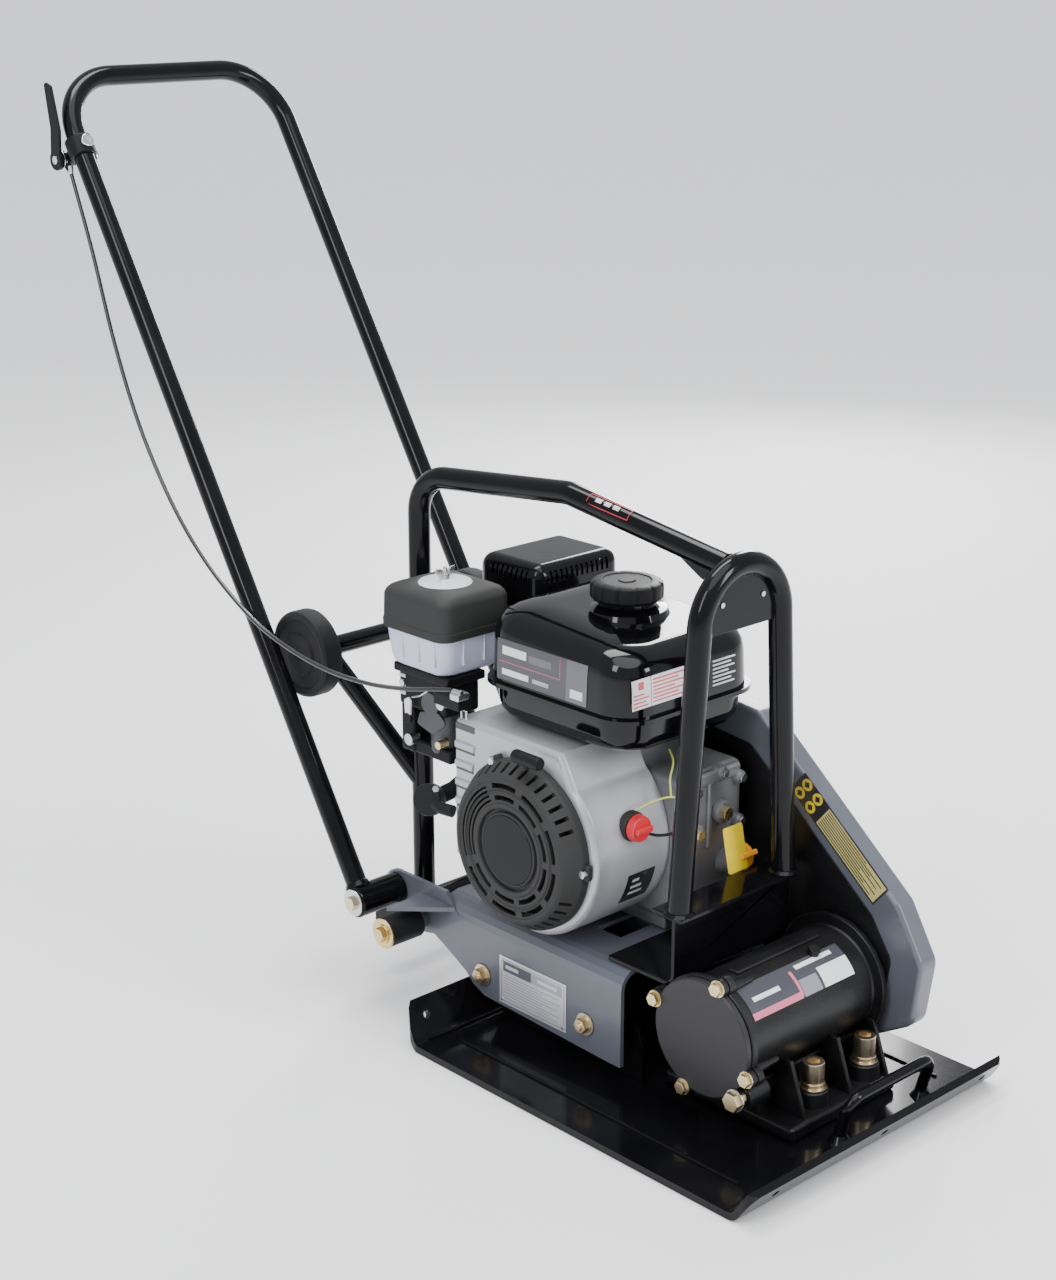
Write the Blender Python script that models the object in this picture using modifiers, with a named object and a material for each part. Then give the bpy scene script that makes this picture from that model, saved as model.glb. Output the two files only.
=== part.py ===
"""Plate compactor: a vibrating base plate with an exciter, and above it, on rubber isolators, an
engine deck with a small petrol engine, a guard frame, transport wheels and a folding handle.

Frame: +X is the belt side, +Y the rear (handle) side, +Z up. The origin is the centre of the base
plate's flat underside. Units are metres."""
import math

import bmesh
import bpy
from mathutils import Matrix, Vector

# Driving dimensions.
GAP = 0.0003
PLATE_HALF_WIDTH = 0.199
PLATE_BEND = 0.231
PLATE_THICK = 0.008
FRONT_LIP = (0.020, 0.034)
REAR_LIP = (0.024, 0.046)
REAR_CORNER = 0.030
FRONT_CORNER = 0.010
LIP_HOLE = 0.0045
FRONT_HOLES = (-0.155, 0.010, 0.172)
REAR_HOLES = (-0.170, 0.170)

LOOP_ROD = 0.006
LOOP_ENDS = (-0.020, 0.112)
LOOP_TOP = 0.056

DECK_HALF_WIDTH = 0.103
DECK_TOP = 0.137
DECK_FRONT = 0.012
DECK_REAR = 0.289
SHEET = 0.005

CRANK = (0.147, 0.243)
EXCITER = (-0.100, 0.108)
EXCITER_LEFT = -0.105
EXCITER_RIGHT = 0.104
HOUSING_RADIUS = 0.057
FLANGE_RADIUS = 0.064
DRIVE_FLANGE_RADIUS = 0.070
LID_THICK = 0.007
LID_RADIUS = 0.062
LID_BOLT_REACH = 0.0655
LID_BOLT_ANGLES = (19, 109, 199, 289)
DRAIN = (-0.150, 0.060)
SCREW_PLACES = ((-0.002, -0.162), (0.080, -0.162), (-0.002, -0.038), (0.080, -0.038))
SCREW_NAMES = ("front_left", "front_right", "rear_left", "rear_right")
FOOT_TOP = 0.040

PIVOT = (0.368, 0.120)
HANDLE_HALF_WIDTH = 0.154
HANDLE_TUBE = 0.012
HANDLE_TOP = (0.908, 0.992)
HANDLE_BEND = 0.074
SLEEVE_OUT = 0.166
SLEEVE_IN = 0.1035
SLEEVE_RADIUS = 0.018
PIVOT_ROD = 0.006
BUFFER = (0.323, 0.096)
BUFFER_RADIUS = 0.017

GUARD_TUBE = 0.0125
POST = (-0.034, 0.402)
CROSS_BAR_Z = 0.070
HOOP_Y = -0.045
HOOP_FOOT = 0.080
HOOP_TOP = 0.060
HOOP_HEIGHT = 0.566
GUARD_BASE_TOP = 0.216

AXLE = (0.494, 0.375)
AXLE_RADIUS = 0.011
WHEEL_RADIUS = 0.050
WHEEL_IN = 0.1105
WHEEL_OUT = 0.1385

ISOLATOR_PLACES = (0.063, 0.223)
ISOLATOR_Z = 0.062
BRACKET_X = 0.074
BRACKET_SHEET = 0.006

SHROUD_LEFT = -0.108
SHROUD_RIGHT = 0.000
SHROUD_RADIUS = 0.102
RECOIL_LEFT = -0.138
RECOIL_RADIUS = 0.093

TANK_LOW = (-0.094, 0.018, 0.358)
TANK_HIGH = (0.118, 0.250, 0.488)
TANK_SEAM = 0.400
TANK_FALL = 0.018
TANK_CORNER = 0.042
FILLER = (0.070, 0.012, 0.2171)
CAP_PLACE = (0.021, 0.132)
CAP_RADIUS = 0.039
CAP_TOP = 0.509
NECK_TOP = 0.488

AIR_LOW = (-0.112, 0.274)
AIR_HIGH = (-0.008, 0.384)
AIR_LEVELS = (0.389, 0.431, 0.481)
MUFFLER_LOW = (0.010, 0.256, 0.400)
MUFFLER_HIGH = (0.139, 0.356, 0.497)

BELT_X = (0.1155, 0.1320)
CLUTCH_RADIUS = 0.060
DRIVEN_RADIUS = 0.039
BELT_THICK = 0.008
COVER_X = (0.1105, 0.139)

CABLE_RADIUS = 0.0025
# From the throttle clamp, down outside the left leg, past the wheel, to the carburettor control.
CABLE_ROUTE = (
    (-0.1640, 0.8680, 0.8850), (-0.1660, 0.8300, 0.8000), (-0.1700, 0.7930, 0.7120),
    (-0.1730, 0.7560, 0.6380), (-0.1750, 0.7190, 0.5800), (-0.1765, 0.6700, 0.5200),
    (-0.1775, 0.6130, 0.4700), (-0.1775, 0.5480, 0.4300), (-0.1765, 0.4890, 0.4060),
    (-0.1720, 0.4120, 0.3890), (-0.1580, 0.3500, 0.3820), (-0.1380, 0.3080, 0.3810),
    (-0.1240, 0.2800, 0.3840), (-0.1160, 0.2570, 0.3870),
)

COLOURS = {
    "black_paint": ((0.012, 0.012, 0.014), 0.25, 0.0),
    "grey_paint": ((0.20, 0.22, 0.27), 0.40, 0.0),
    "cast_black": ((0.020, 0.020, 0.022), 0.55, 0.0),
    "cover_grey": ((0.10, 0.10, 0.11), 0.50, 0.0),
    "rubber": ((0.015, 0.015, 0.016), 0.80, 0.0),
    "zinc": ((0.75, 0.68, 0.50), 0.35, 1.0),
    "steel": ((0.60, 0.60, 0.62), 0.35, 1.0),
    "silver_paint": ((0.62, 0.62, 0.62), 0.35, 0.3),
    "aluminium": ((0.45, 0.45, 0.46), 0.50, 0.6),
    "black_plastic": ((0.015, 0.015, 0.017), 0.35, 0.0),
    "white_plastic": ((0.62, 0.64, 0.72), 0.35, 0.0),
    "red_plastic": ((0.60, 0.02, 0.03), 0.40, 0.0),
    "orange_plastic": ((0.85, 0.35, 0.02), 0.40, 0.0),
    "label_plate": ((0.70, 0.71, 0.74), 0.40, 0.4),
}


def start():
    for old in list(bpy.data.objects):
        bpy.data.objects.remove(old, do_unlink=True)
    made = []
    for name in ("plate_compactor", "cutters"):
        group = bpy.data.collections.new(name)
        bpy.context.scene.collection.children.link(group)
        made.append(group)
    return made


PARTS, CUTTERS = start()


def paint(slot):
    found = bpy.data.materials.get(slot)
    if found:
        return found
    colour, roughness, metallic = COLOURS[slot]
    found = bpy.data.materials.new(slot)
    found.use_nodes = True
    shader = found.node_tree.nodes["Principled BSDF"]
    shader.inputs["Base Color"].default_value = (*colour, 1.0)
    shader.inputs["Roughness"].default_value = roughness
    shader.inputs["Metallic"].default_value = metallic
    found.diffuse_color = (*colour, 1.0)
    return found


def solid(name, mesh):
    """A new object in the parts collection."""
    obj = bpy.data.objects.new(name, mesh)
    PARTS.objects.link(obj)
    return obj


def box(name, low, high, bevel=0.0, segments=1):
    """A box between two corners, with its long edges rounded if bevel is given."""
    mesh = bpy.data.meshes.new(name)
    work = bmesh.new()
    bmesh.ops.create_cube(work, size=1.0)
    size = [b - a for a, b in zip(low, high)]
    middle = [(a + b) / 2 for a, b in zip(low, high)]
    bmesh.ops.scale(work, vec=size, verts=work.verts)
    bmesh.ops.translate(work, vec=middle, verts=work.verts)
    work.to_mesh(mesh)
    work.free()
    obj = solid(name, mesh)
    if bevel:
        add = obj.modifiers.new("bevel", "BEVEL")
        add.width = bevel
        add.segments = segments
    return obj


def rod(name, start_at, end_at, radius, sides=14, end_radius=None):
    """A cylinder or cone between two points."""
    start_at = Vector(start_at)
    end_at = Vector(end_at)
    mesh = bpy.data.meshes.new(name)
    work = bmesh.new()
    far = radius if end_radius is None else end_radius
    length = (end_at - start_at).length
    bmesh.ops.create_cone(work, cap_ends=True, segments=sides, radius1=radius, radius2=far, depth=length)
    turn = Vector((0, 0, 1)).rotation_difference(end_at - start_at).to_matrix().to_4x4()
    middle = Matrix.Translation((start_at + end_at) / 2)
    bmesh.ops.transform(work, matrix=middle @ turn, verts=work.verts)
    work.to_mesh(mesh)
    work.free()
    return solid(name, mesh)


def baked(obj):
    """The object as a plain mesh with its modifiers and placing applied, under the same name."""
    name = obj.name
    bpy.context.view_layer.update()
    seen = obj.evaluated_get(bpy.context.evaluated_depsgraph_get())
    mesh = bpy.data.meshes.new_from_object(seen)
    mesh.transform(obj.matrix_world)
    bpy.data.objects.remove(obj, do_unlink=True)
    work = bmesh.new()
    work.from_mesh(mesh)
    bmesh.ops.remove_doubles(work, verts=work.verts, dist=0.00001)
    bmesh.ops.recalc_face_normals(work, faces=work.faces)
    work.to_mesh(mesh)
    work.free()
    return solid(name, mesh)


def turned(name, profile, centre, axis="X", steps=22):
    """A turned piece. The profile lists (radius, height) from the top end down the outer side."""
    mesh = bpy.data.meshes.new(name)
    points = [(radius, 0.0, height) for radius, height in profile]
    links = [(i, i + 1) for i in range(len(points) - 1)]
    mesh.from_pydata(points, links, [])
    obj = solid(name, mesh)
    screw = obj.modifiers.new("screw", "SCREW")
    screw.steps = steps
    screw.render_steps = steps
    screw.use_merge_vertices = True
    screw.merge_threshold = 0.00005
    turns = {"X": Matrix.Rotation(math.pi / 2, 4, "Y"), "Z": Matrix.Identity(4)}
    obj.matrix_world = Matrix.Translation(centre) @ turns[axis]
    return baked(obj)


def ring(name, start_x, end_x, centre, inner, outer, steps=16):
    """A plain ring along X between two places."""
    profile = [(inner, end_x), (outer, end_x), (outer, start_x), (inner, start_x), (inner, end_x)]
    return turned(name, profile, (0.0, *centre), "X", steps)


def outline_plate(name, outline, low, high, across="X"):
    """A flat outline made thick between two places. Across X the outline is (y, z), across Y it is
    (x, z) and across Z it is (x, y)."""
    curve = bpy.data.curves.new(name, "CURVE")
    curve.dimensions = "2D"
    curve.fill_mode = "BOTH"
    curve.extrude = (high - low) / 2
    line = curve.splines.new("POLY")
    line.points.add(len(outline) - 1)
    for point, (u, v) in zip(line.points, outline):
        point.co = (u, v, 0.0, 1.0)
    line.use_cyclic_u = True
    obj = solid(name, curve)
    middle = (low + high) / 2
    frames = {
        "X": Matrix(((0, 0, 1, middle), (1, 0, 0, 0), (0, 1, 0, 0), (0, 0, 0, 1))),
        "Y": Matrix(((1, 0, 0, 0), (0, 0, -1, middle), (0, 1, 0, 0), (0, 0, 0, 1))),
        "Z": Matrix(((1, 0, 0, 0), (0, 1, 0, 0), (0, 0, 1, middle), (0, 0, 0, 1))),
    }
    obj.matrix_world = frames[across]
    return baked(obj)


def arc(centre, radius, start_deg, end_deg, steps):
    """Points on an arc in the plane of two coordinates."""
    points = []
    for i in range(steps + 1):
        angle = math.radians(start_deg + (end_deg - start_deg) * i / steps)
        points.append((centre[0] + radius * math.cos(angle), centre[1] + radius * math.sin(angle)))
    return points


def softened(points, radius, steps=6, closed=False):
    """A route whose corners are replaced by arcs of one radius."""
    points = [Vector(p) for p in points]
    count = len(points)
    route = []
    for i, here in enumerate(points):
        if not closed and i in (0, count - 1):
            route.append(here)
            continue
        back = (points[i - 1] - here).normalized()
        ahead = (points[(i + 1) % count] - here).normalized()
        half = back.angle(ahead) / 2
        reach = radius / math.tan(half)
        centre = here + (back + ahead).normalized() * (radius / math.sin(half))
        first = here + back * reach - centre
        last = here + ahead * reach - centre
        sweep = first.angle(last)
        for k in range(steps + 1):
            part = k / steps
            near = math.sin((1 - part) * sweep) / math.sin(sweep)
            far = math.sin(part * sweep) / math.sin(sweep)
            route.append(centre + first * near + last * far)
    return route


def tube(name, route, radius, sides_level=5):
    """A round tube along a route, with its ends closed."""
    curve = bpy.data.curves.new(name, "CURVE")
    curve.dimensions = "3D"
    curve.bevel_depth = radius
    curve.bevel_resolution = sides_level
    curve.use_fill_caps = True
    line = curve.splines.new("POLY")
    line.points.add(len(route) - 1)
    for point, spot in zip(line.points, route):
        point.co = (*spot, 1.0)
    return solid(name, curve)


def sheet_outline(points, thickness, radius, steps=4):
    """The closed outline of a bent sheet whose middle line runs through the points."""
    line = softened([Vector((p[0], p[1], 0.0)) for p in points], radius, steps)
    sides = []
    for i, here in enumerate(line):
        back = (here - line[max(i - 1, 0)]).normalized()
        ahead = (line[min(i + 1, len(line) - 1)] - here).normalized()
        along = (back + ahead).normalized()
        normal = Vector((-along.y, along.x, 0.0))
        sides.append((here + normal * thickness / 2, here - normal * thickness / 2))
    outer = [(a.x, a.y) for a, _ in sides]
    inner = [(b.x, b.y) for _, b in reversed(sides)]
    return outer + inner


def as_cutter(obj):
    for group in list(obj.users_collection):
        group.objects.unlink(obj)
    CUTTERS.objects.link(obj)
    obj.hide_render = True
    obj.display_type = "WIRE"
    return obj


def combine(obj, others, operation):
    for other in others:
        add = obj.modifiers.new(operation.lower(), "BOOLEAN")
        add.operation = operation
        add.solver = "EXACT"
        add.object = as_cutter(other)
    return obj


def weld(obj, *others):
    return combine(obj, others, "UNION")


def cut(obj, *others):
    return combine(obj, others, "DIFFERENCE")


def done(obj, slot, origin=None, smooth=True):
    """Gives a finished part its material, its shading and its origin."""
    obj = baked(obj)
    obj.data.materials.clear()
    obj.data.materials.append(paint(slot))
    if smooth:
        obj.data.shade_smooth()
        obj.data.set_sharp_from_angle(angle=math.radians(35))
    if origin:
        obj.data.transform(Matrix.Translation(-Vector(origin)))
        obj.location = origin
    return obj


def sides():
    """The two sides of the machine, as (name, sign)."""
    return (("left", -1.0), ("right", 1.0))


def span(sign, inner, outer):
    """The X range between two distances from the middle plane, on one side."""
    return (sign * outer, sign * inner) if sign < 0 else (sign * inner, sign * outer)


# Base: plate, brackets, loop, exciter.

def corner_block(across, along, lip, size):
    """What is cut off one corner of the plate to round it, seen from above. The signs say which."""
    end = PLATE_BEND + lip[0] + 0.002
    middle = (across * (PLATE_HALF_WIDTH - size), along * (end - size))
    curve = arc(middle, size, 90 * along, 90 * along - 90 * across * along, 4)
    outside = (across * (PLATE_HALF_WIDTH + 0.010), along * (end + 0.010))
    return [outside, (middle[0], outside[1])] + curve + [(outside[0], middle[1])]


def make_base_plate():
    half = PLATE_THICK / 2
    profile = [
        (-PLATE_BEND - FRONT_LIP[0], FRONT_LIP[1]),
        (-PLATE_BEND, half),
        (PLATE_BEND, half),
        (PLATE_BEND + REAR_LIP[0], REAR_LIP[1]),
    ]
    outline = sheet_outline(profile, PLATE_THICK, 0.014)
    plate = outline_plate("base_plate", outline, -PLATE_HALF_WIDTH, PLATE_HALF_WIDTH)
    for across in (-1, 1):
        for along, lip, size in ((1, REAR_LIP, REAR_CORNER), (-1, FRONT_LIP, FRONT_CORNER)):
            block = corner_block(across, along, lip, size)
            cut(plate, outline_plate("corner_cutter", block, -0.01, 0.09, "Z"))
    for x in FRONT_HOLES:
        cut(plate, rod("hole_cutter", (x, -0.29, 0.005), (x, -0.21, 0.030), LIP_HOLE, 10))
    for x in REAR_HOLES:
        cut(plate, rod("hole_cutter", (x, 0.215, 0.040), (x, 0.285, 0.013), LIP_HOLE, 10))
    done(plate, "black_paint")


def make_brackets():
    for side, sign in sides():
        low, high = span(sign, BRACKET_X, BRACKET_X + BRACKET_SHEET)
        outline = [
            (0.002, PLATE_THICK + GAP), (0.214, PLATE_THICK + GAP), (0.240, 0.054),
            (0.240, 0.086), (0.205, 0.086), (0.180, 0.050), (0.106, 0.050),
            (0.086, 0.086), (0.040, 0.086), (0.010, 0.070), (0.002, 0.050),
        ]
        bracket = outline_plate("isolator_bracket_" + side, outline, low, high)
        for y in ISOLATOR_PLACES:
            ends = ((low - 0.01, y, ISOLATOR_Z), (high + 0.01, y, ISOLATOR_Z))
            cut(bracket, rod("stud_cutter", *ends, 0.0054, 12))
        done(bracket, "black_paint")


def make_isolators():
    """Rubber bobbins between bracket and deck side, with their studs, washers and nuts."""
    inner = BRACKET_X + BRACKET_SHEET + GAP
    outer = DECK_HALF_WIDTH - SHEET - GAP
    for side, sign in sides():
        for end, y in zip(("front", "rear"), ISOLATOR_PLACES):
            name = f"isolator_{end}_{side}"
            spot = lambda x: (sign * x, y, ISOLATOR_Z)
            bobbin = rod(name, spot(inner), spot(outer), 0.016, 14)
            stud = rod("stud", spot(BRACKET_X - 0.012), spot(DECK_HALF_WIDTH + 0.012), 0.005, 12)
            face = DECK_HALF_WIDTH
            washer = rod("washer", spot(face + GAP), spot(face + 0.0023), 0.0125, 12)
            nut = rod("nut", spot(face + 0.002), spot(face + 0.0095), 0.0085, 6)
            inner_nut = rod("nut", spot(BRACKET_X - 0.0085), spot(BRACKET_X - GAP), 0.0085, 6)
            done(weld(bobbin, stud, washer, nut, inner_nut), "rubber")


def make_loop():
    low = PLATE_THICK + LOOP_ROD + 0.0005
    left, right = LOOP_ENDS
    corners = [(left, -0.212, low), (left, -0.224, LOOP_TOP),
               (right, -0.224, LOOP_TOP), (right, -0.212, low)]
    done(tube("front_lift_loop", softened(corners, 0.016), LOOP_ROD, 4), "black_paint")


def make_exciter():
    y, z = EXCITER
    left = EXCITER_LEFT + LID_THICK + GAP
    right = EXCITER_RIGHT - LID_THICK - GAP
    wide = DRIVE_FLANGE_RADIUS
    profile = [
        (0.045, right), (wide, right), (wide, right - 0.0059), (HOUSING_RADIUS, right - 0.0059),
        (HOUSING_RADIUS, left + 0.0080), (FLANGE_RADIUS, left + 0.0080), (FLANGE_RADIUS, left),
        (0.045, left), (0.045, right),
    ]
    body = turned("exciter_housing", profile, (0.0, y, z), "X", 24)
    for spot in cover_bolts():
        weld(body, rod("lobe", (left + 0.0006, *spot), (left + 0.0085, *spot), 0.010, 10))
    weld(body, foot_casting())
    weld(body, rod("drain_boss", (left + 0.0006, *DRAIN), (left + 0.030, *DRAIN), 0.012, 12))
    for x, deep in SCREW_PLACES:
        cut(body, rod("screw_bore", (x, deep, 0.0), (x, deep, 0.09), 0.0075, 10))
    done(body, "cast_black")
    done(make_end_cover(), "cover_grey")
    make_drive_cover()
    plug = rod("drain_plug", (EXCITER_LEFT - 0.010, *DRAIN), (EXCITER_LEFT - 0.001, *DRAIN), 0.011, 6)
    weld(plug, rod("thread", (EXCITER_LEFT - 0.002, *DRAIN), (left - 2 * GAP, *DRAIN), 0.008, 12))
    done(plug, "zinc")
    for name, (x, deep) in zip(SCREW_NAMES, SCREW_PLACES):
        screw = rod("foot_screw_" + name, (x, deep, FOOT_TOP + 0.0045), (x, deep, 0.070), 0.0114, 14)
        weld(screw, rod("washer", (x, deep, FOOT_TOP + GAP), (x, deep, FOOT_TOP + 0.005), 0.0145, 14))
        weld(screw, rod("shank", (x, deep, PLATE_THICK + GAP), (x, deep, 0.05), 0.0070, 10))
        cut(screw, rod("socket", (x, deep, 0.062), (x, deep, 0.08), 0.007, 6))
        done(screw, "zinc")


def cover_bolts():
    """The four places round the exciter's axis where the end cover is bolted on."""
    y, z = EXCITER
    turns = [math.radians(angle) for angle in LID_BOLT_ANGLES]
    return [(y + LID_BOLT_REACH * math.cos(turn), z + LID_BOLT_REACH * math.sin(turn)) for turn in turns]


def foot_casting():
    """The foot under the exciter's cylinder: a slab, screw pads, ribs and a saddle."""
    y, z = EXCITER
    foot = box("foot", (-0.062, -0.187, PLATE_THICK + GAP), (0.103, -0.014, 0.024))
    for x, deep in SCREW_PLACES:
        weld(foot, rod("pad", (x, deep, 0.018), (x, deep, FOOT_TOP), 0.0165, 14))
    for x in (-0.0585, 0.0405):
        rib = [(y - 0.082, 0.019), (y + 0.078, 0.019), (y + 0.049, z), (y - 0.051, z - 0.006)]
        weld(foot, outline_plate("rib", rib, x - 0.003, x + 0.003))
    weld(foot, box("saddle", (-0.060, y - 0.038, 0.019), (0.088, y + 0.038, z - 0.032)))
    cut(foot, rod("bore", (-0.08, y, z), (0.12, y, z), 0.051, 20))
    return baked(foot)


def make_end_cover():
    y, z = EXCITER
    inner = EXCITER_LEFT + LID_THICK - GAP
    cover = rod("exciter_end_cover", (EXCITER_LEFT, y, z), (inner, y, z), LID_RADIUS, 24)
    for spot in cover_bolts():
        weld(cover, rod("lobe", (EXCITER_LEFT + 0.0005, *spot), (EXCITER_LEFT + 0.0062, *spot), 0.0095, 10))
        weld(cover, rod("bolt", (EXCITER_LEFT - 0.006, *spot), (EXCITER_LEFT + 0.003, *spot), 0.0072, 6))
    ends = ((EXCITER_LEFT - 0.001, *DRAIN), (EXCITER_LEFT + 0.02, *DRAIN))
    return cut(cover, rod("drain_cutter", *ends, 0.0145, 12))


def make_drive_cover():
    y, z = EXCITER
    inner = EXCITER_RIGHT - LID_THICK + GAP
    cover = ring("exciter_drive_cover", inner, EXCITER_RIGHT, EXCITER, 0.0125, DRIVE_FLANGE_RADIUS, 22)
    done(cover, "cast_black")
    for side, x in (("left", -0.082), ("right", 0.066)):
        bearing = ring("exciter_bearing_" + side, x, x + 0.018, EXCITER, 0.0123, 0.0445, 20)
        done(bearing, "steel", (x, y, z))
    shaft = rod("eccentric_shaft", (-0.090, y, z), (0.136, y, z), 0.0118, 14)
    weight = [(y - 0.011, z)] + arc((y, z), 0.036, 180, 360, 12) + [(y + 0.011, z)]
    weld(shaft, outline_plate("weight", weight, -0.055, 0.055))
    done(shaft, "steel", (0.0, y, z))


def pulley(name, centre, radius, bore):
    """A one-groove pulley with flanges a belt's thickness above the groove."""
    left, right = BELT_X[0] - 0.0035, BELT_X[1] + 0.0030
    rim = radius + BELT_THICK
    profile = [
        (bore, right), (rim, right), (rim, BELT_X[1] + 0.0008), (radius - 0.0004, BELT_X[1] - 0.002),
        (radius - 0.0004, BELT_X[0] + 0.002), (rim, BELT_X[0] - 0.0008), (rim, left), (bore, left),
        (bore, right),
    ]
    return turned(name, profile, (0.0, *centre), "X", 22)


def belt_loop(offset, steps=16):
    """The belt's outline round both pulleys at a distance from their grooves."""
    first = Vector(EXCITER)
    second = Vector(CRANK)
    along = second - first
    angle = math.degrees(math.atan2(along.y, along.x))
    tilt = math.degrees(math.acos((DRIVEN_RADIUS - CLUTCH_RADIUS) / along.length))
    small = arc(first, DRIVEN_RADIUS + offset, angle + tilt, angle + 360 - tilt, steps)
    large = arc(second, CLUTCH_RADIUS + offset, angle - tilt, angle + tilt, steps)
    return small + large


def make_drive():
    done(pulley("driven_pulley", EXCITER, DRIVEN_RADIUS, 0.0121), "steel", (0.123, *EXCITER))
    done(pulley("clutch_pulley", CRANK, CLUTCH_RADIUS, 0.0103), "steel", (0.123, *CRANK))
    belt = outline_plate("v_belt", belt_loop(BELT_THICK), BELT_X[0] + 0.0024, BELT_X[1] - 0.0024)
    hole = outline_plate("belt_cutter", belt_loop(0.0012), BELT_X[0] - 0.01, BELT_X[1] + 0.01)
    # The belt rides clear of the sloping groove walls.
    done(cut(belt, hole), "rubber")
    low, high = COVER_X
    done(cut(outline_plate("belt_cover", cover_line(0.0), low, high),
             outline_plate("cover_cutter", cover_line(0.0025), low - 0.01, high - 0.0025)), "grey_paint")


def cover_line(inset):
    """The belt cover's outline, pulled in by an inset."""
    corners = [
        (0.130, 0.378), (0.020, 0.368), (-0.172, 0.208), (-0.206, 0.150), (-0.196, 0.080),
        (-0.140, 0.047), (-0.070, 0.047), (0.205, 0.172), (0.240, 0.250), (0.215, 0.350),
    ]
    middle = Vector((0.02, 0.21, 0.0))
    flat = []
    for here in corners:
        away = Vector((*here, 0.0)) - middle
        flat.append(middle + away * (1 - inset / 0.14))
    line = softened(flat, 0.020, 3, closed=True)
    return [(p.x, p.y) for p in line]


# Deck, guard, handle and wheels.

def make_deck():
    wide = DECK_HALF_WIDTH - SHEET / 2
    top = DECK_TOP - SHEET / 2
    section = sheet_outline([(-wide, 0.020), (-wide, top), (wide, top), (wide, 0.020)], SHEET, 0.018)
    deck = outline_plate("engine_deck", section, DECK_FRONT, DECK_REAR, "Y")
    below = [(DECK_FRONT - 0.01, 0.0), (DECK_REAR + 0.01, 0.0), (DECK_REAR + 0.01, 0.081),
             (0.252, 0.056), (0.240, 0.045), (0.222, 0.037), (0.030, 0.030), (DECK_FRONT - 0.01, 0.030)]
    cut(deck, outline_plate("lower_cutter", below, -0.15, 0.15))
    window = outline_plate("sump_window", [(-0.040, 0.075), (0.040, 0.075), (0.040, 0.110), (-0.040, 0.110)],
                           0.12, 0.15, "Z")
    cut(deck, window)
    for side, sign in sides():
        low, high = span(sign, DECK_HALF_WIDTH - SHEET, DECK_HALF_WIDTH)
        y, z = PIVOT
        ear = [(0.262, DECK_TOP - 0.02), (0.262, 0.062), (0.305, 0.083)]
        ear += arc(BUFFER, 0.0165, 250, 300, 3) + arc(PIVOT, 0.021, -60, 90, 8)
        ear += [(0.285, z + 0.021), (0.262, DECK_TOP - 0.02)]
        weld(deck, outline_plate("ear", ear[:-1], low, high))
        foot = DECK_HALF_WIDTH - 0.001
        gusset = [(sign * foot, 0.324), (sign * foot, 0.270), (sign * 0.156, 0.324)]
        weld(deck, outline_plate("gusset", gusset, 0.121, 0.126, "Z"))
        ends = ((low - 0.02, y, z), (high + 0.02, y, z))
        cut(deck, rod("pivot_cutter", *ends, PIVOT_ROD + 0.0006, 12))
        ends = ((low - 0.02, *BUFFER), (high + 0.02, *BUFFER))
        cut(deck, rod("buffer_cutter", *ends, 0.0056, 12))
        for place_y in ISOLATOR_PLACES:
            ends = ((low - 0.01, place_y, ISOLATOR_Z), (high + 0.01, place_y, ISOLATOR_Z))
            cut(deck, rod("stud_cutter", *ends, 0.0056, 12))
    done(deck, "grey_paint")
    left = -DECK_HALF_WIDTH
    done(box("data_plate", (left - 0.0012, 0.092, 0.040), (left - GAP, 0.196, 0.096)), "label_plate")


def make_buffers():
    for side, sign in sides():
        spot = lambda x: (sign * x, *BUFFER)
        face = DECK_HALF_WIDTH + GAP
        name = "stop_buffer_" + side
        buffer = rod(name, spot(face + 0.012), spot(0.162), BUFFER_RADIUS, 16)
        weld(buffer, rod("boss", spot(face), spot(face + 0.013), 0.009, 12))
        weld(buffer, rod("washer", spot(0.161), spot(0.1635), 0.0175, 16))
        weld(buffer, rod("head", spot(0.163), spot(0.170), 0.0085, 6))
        weld(buffer, rod("stud", spot(0.088), spot(0.15), 0.005, 12))
        weld(buffer, rod("nut", spot(0.0895), spot(DECK_HALF_WIDTH - SHEET - GAP), 0.0085, 6))
        done(buffer, "rubber")


def make_guard():
    x, y = POST
    tab_in = DECK_HALF_WIDTH - SHEET - 0.0052
    tab_out = DECK_HALF_WIDTH - SHEET - GAP
    bar = tube("guard_bar", softened([
        (x, y, CROSS_BAR_Z), (x, y, 0.583), (x + 0.016, 0.180, 0.600), (-0.004, HOOP_Y + 0.016, 0.562),
    ], 0.045), GUARD_TUBE)
    bar = baked(bar)
    weld(bar, rod("cross_bar", (-tab_in, y, CROSS_BAR_Z), (tab_in, y, CROSS_BAR_Z), GUARD_TUBE, 12))
    for side, sign in sides():
        low, high = span(sign, tab_in - 0.001, tab_out)
        tab = [(0.392, 0.058), (0.416, 0.058), (0.416, 0.086), (0.385, 0.126), (0.356, 0.126),
               (0.352, 0.104)]
        weld(bar, outline_plate("tab", tab, low, high))
        ends = ((low - 0.02, *PIVOT), (high + 0.02, *PIVOT))
        cut(bar, rod("pivot_cutter", *ends, PIVOT_ROD + 0.0006, 12))
    done(bar, "black_paint")


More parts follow.
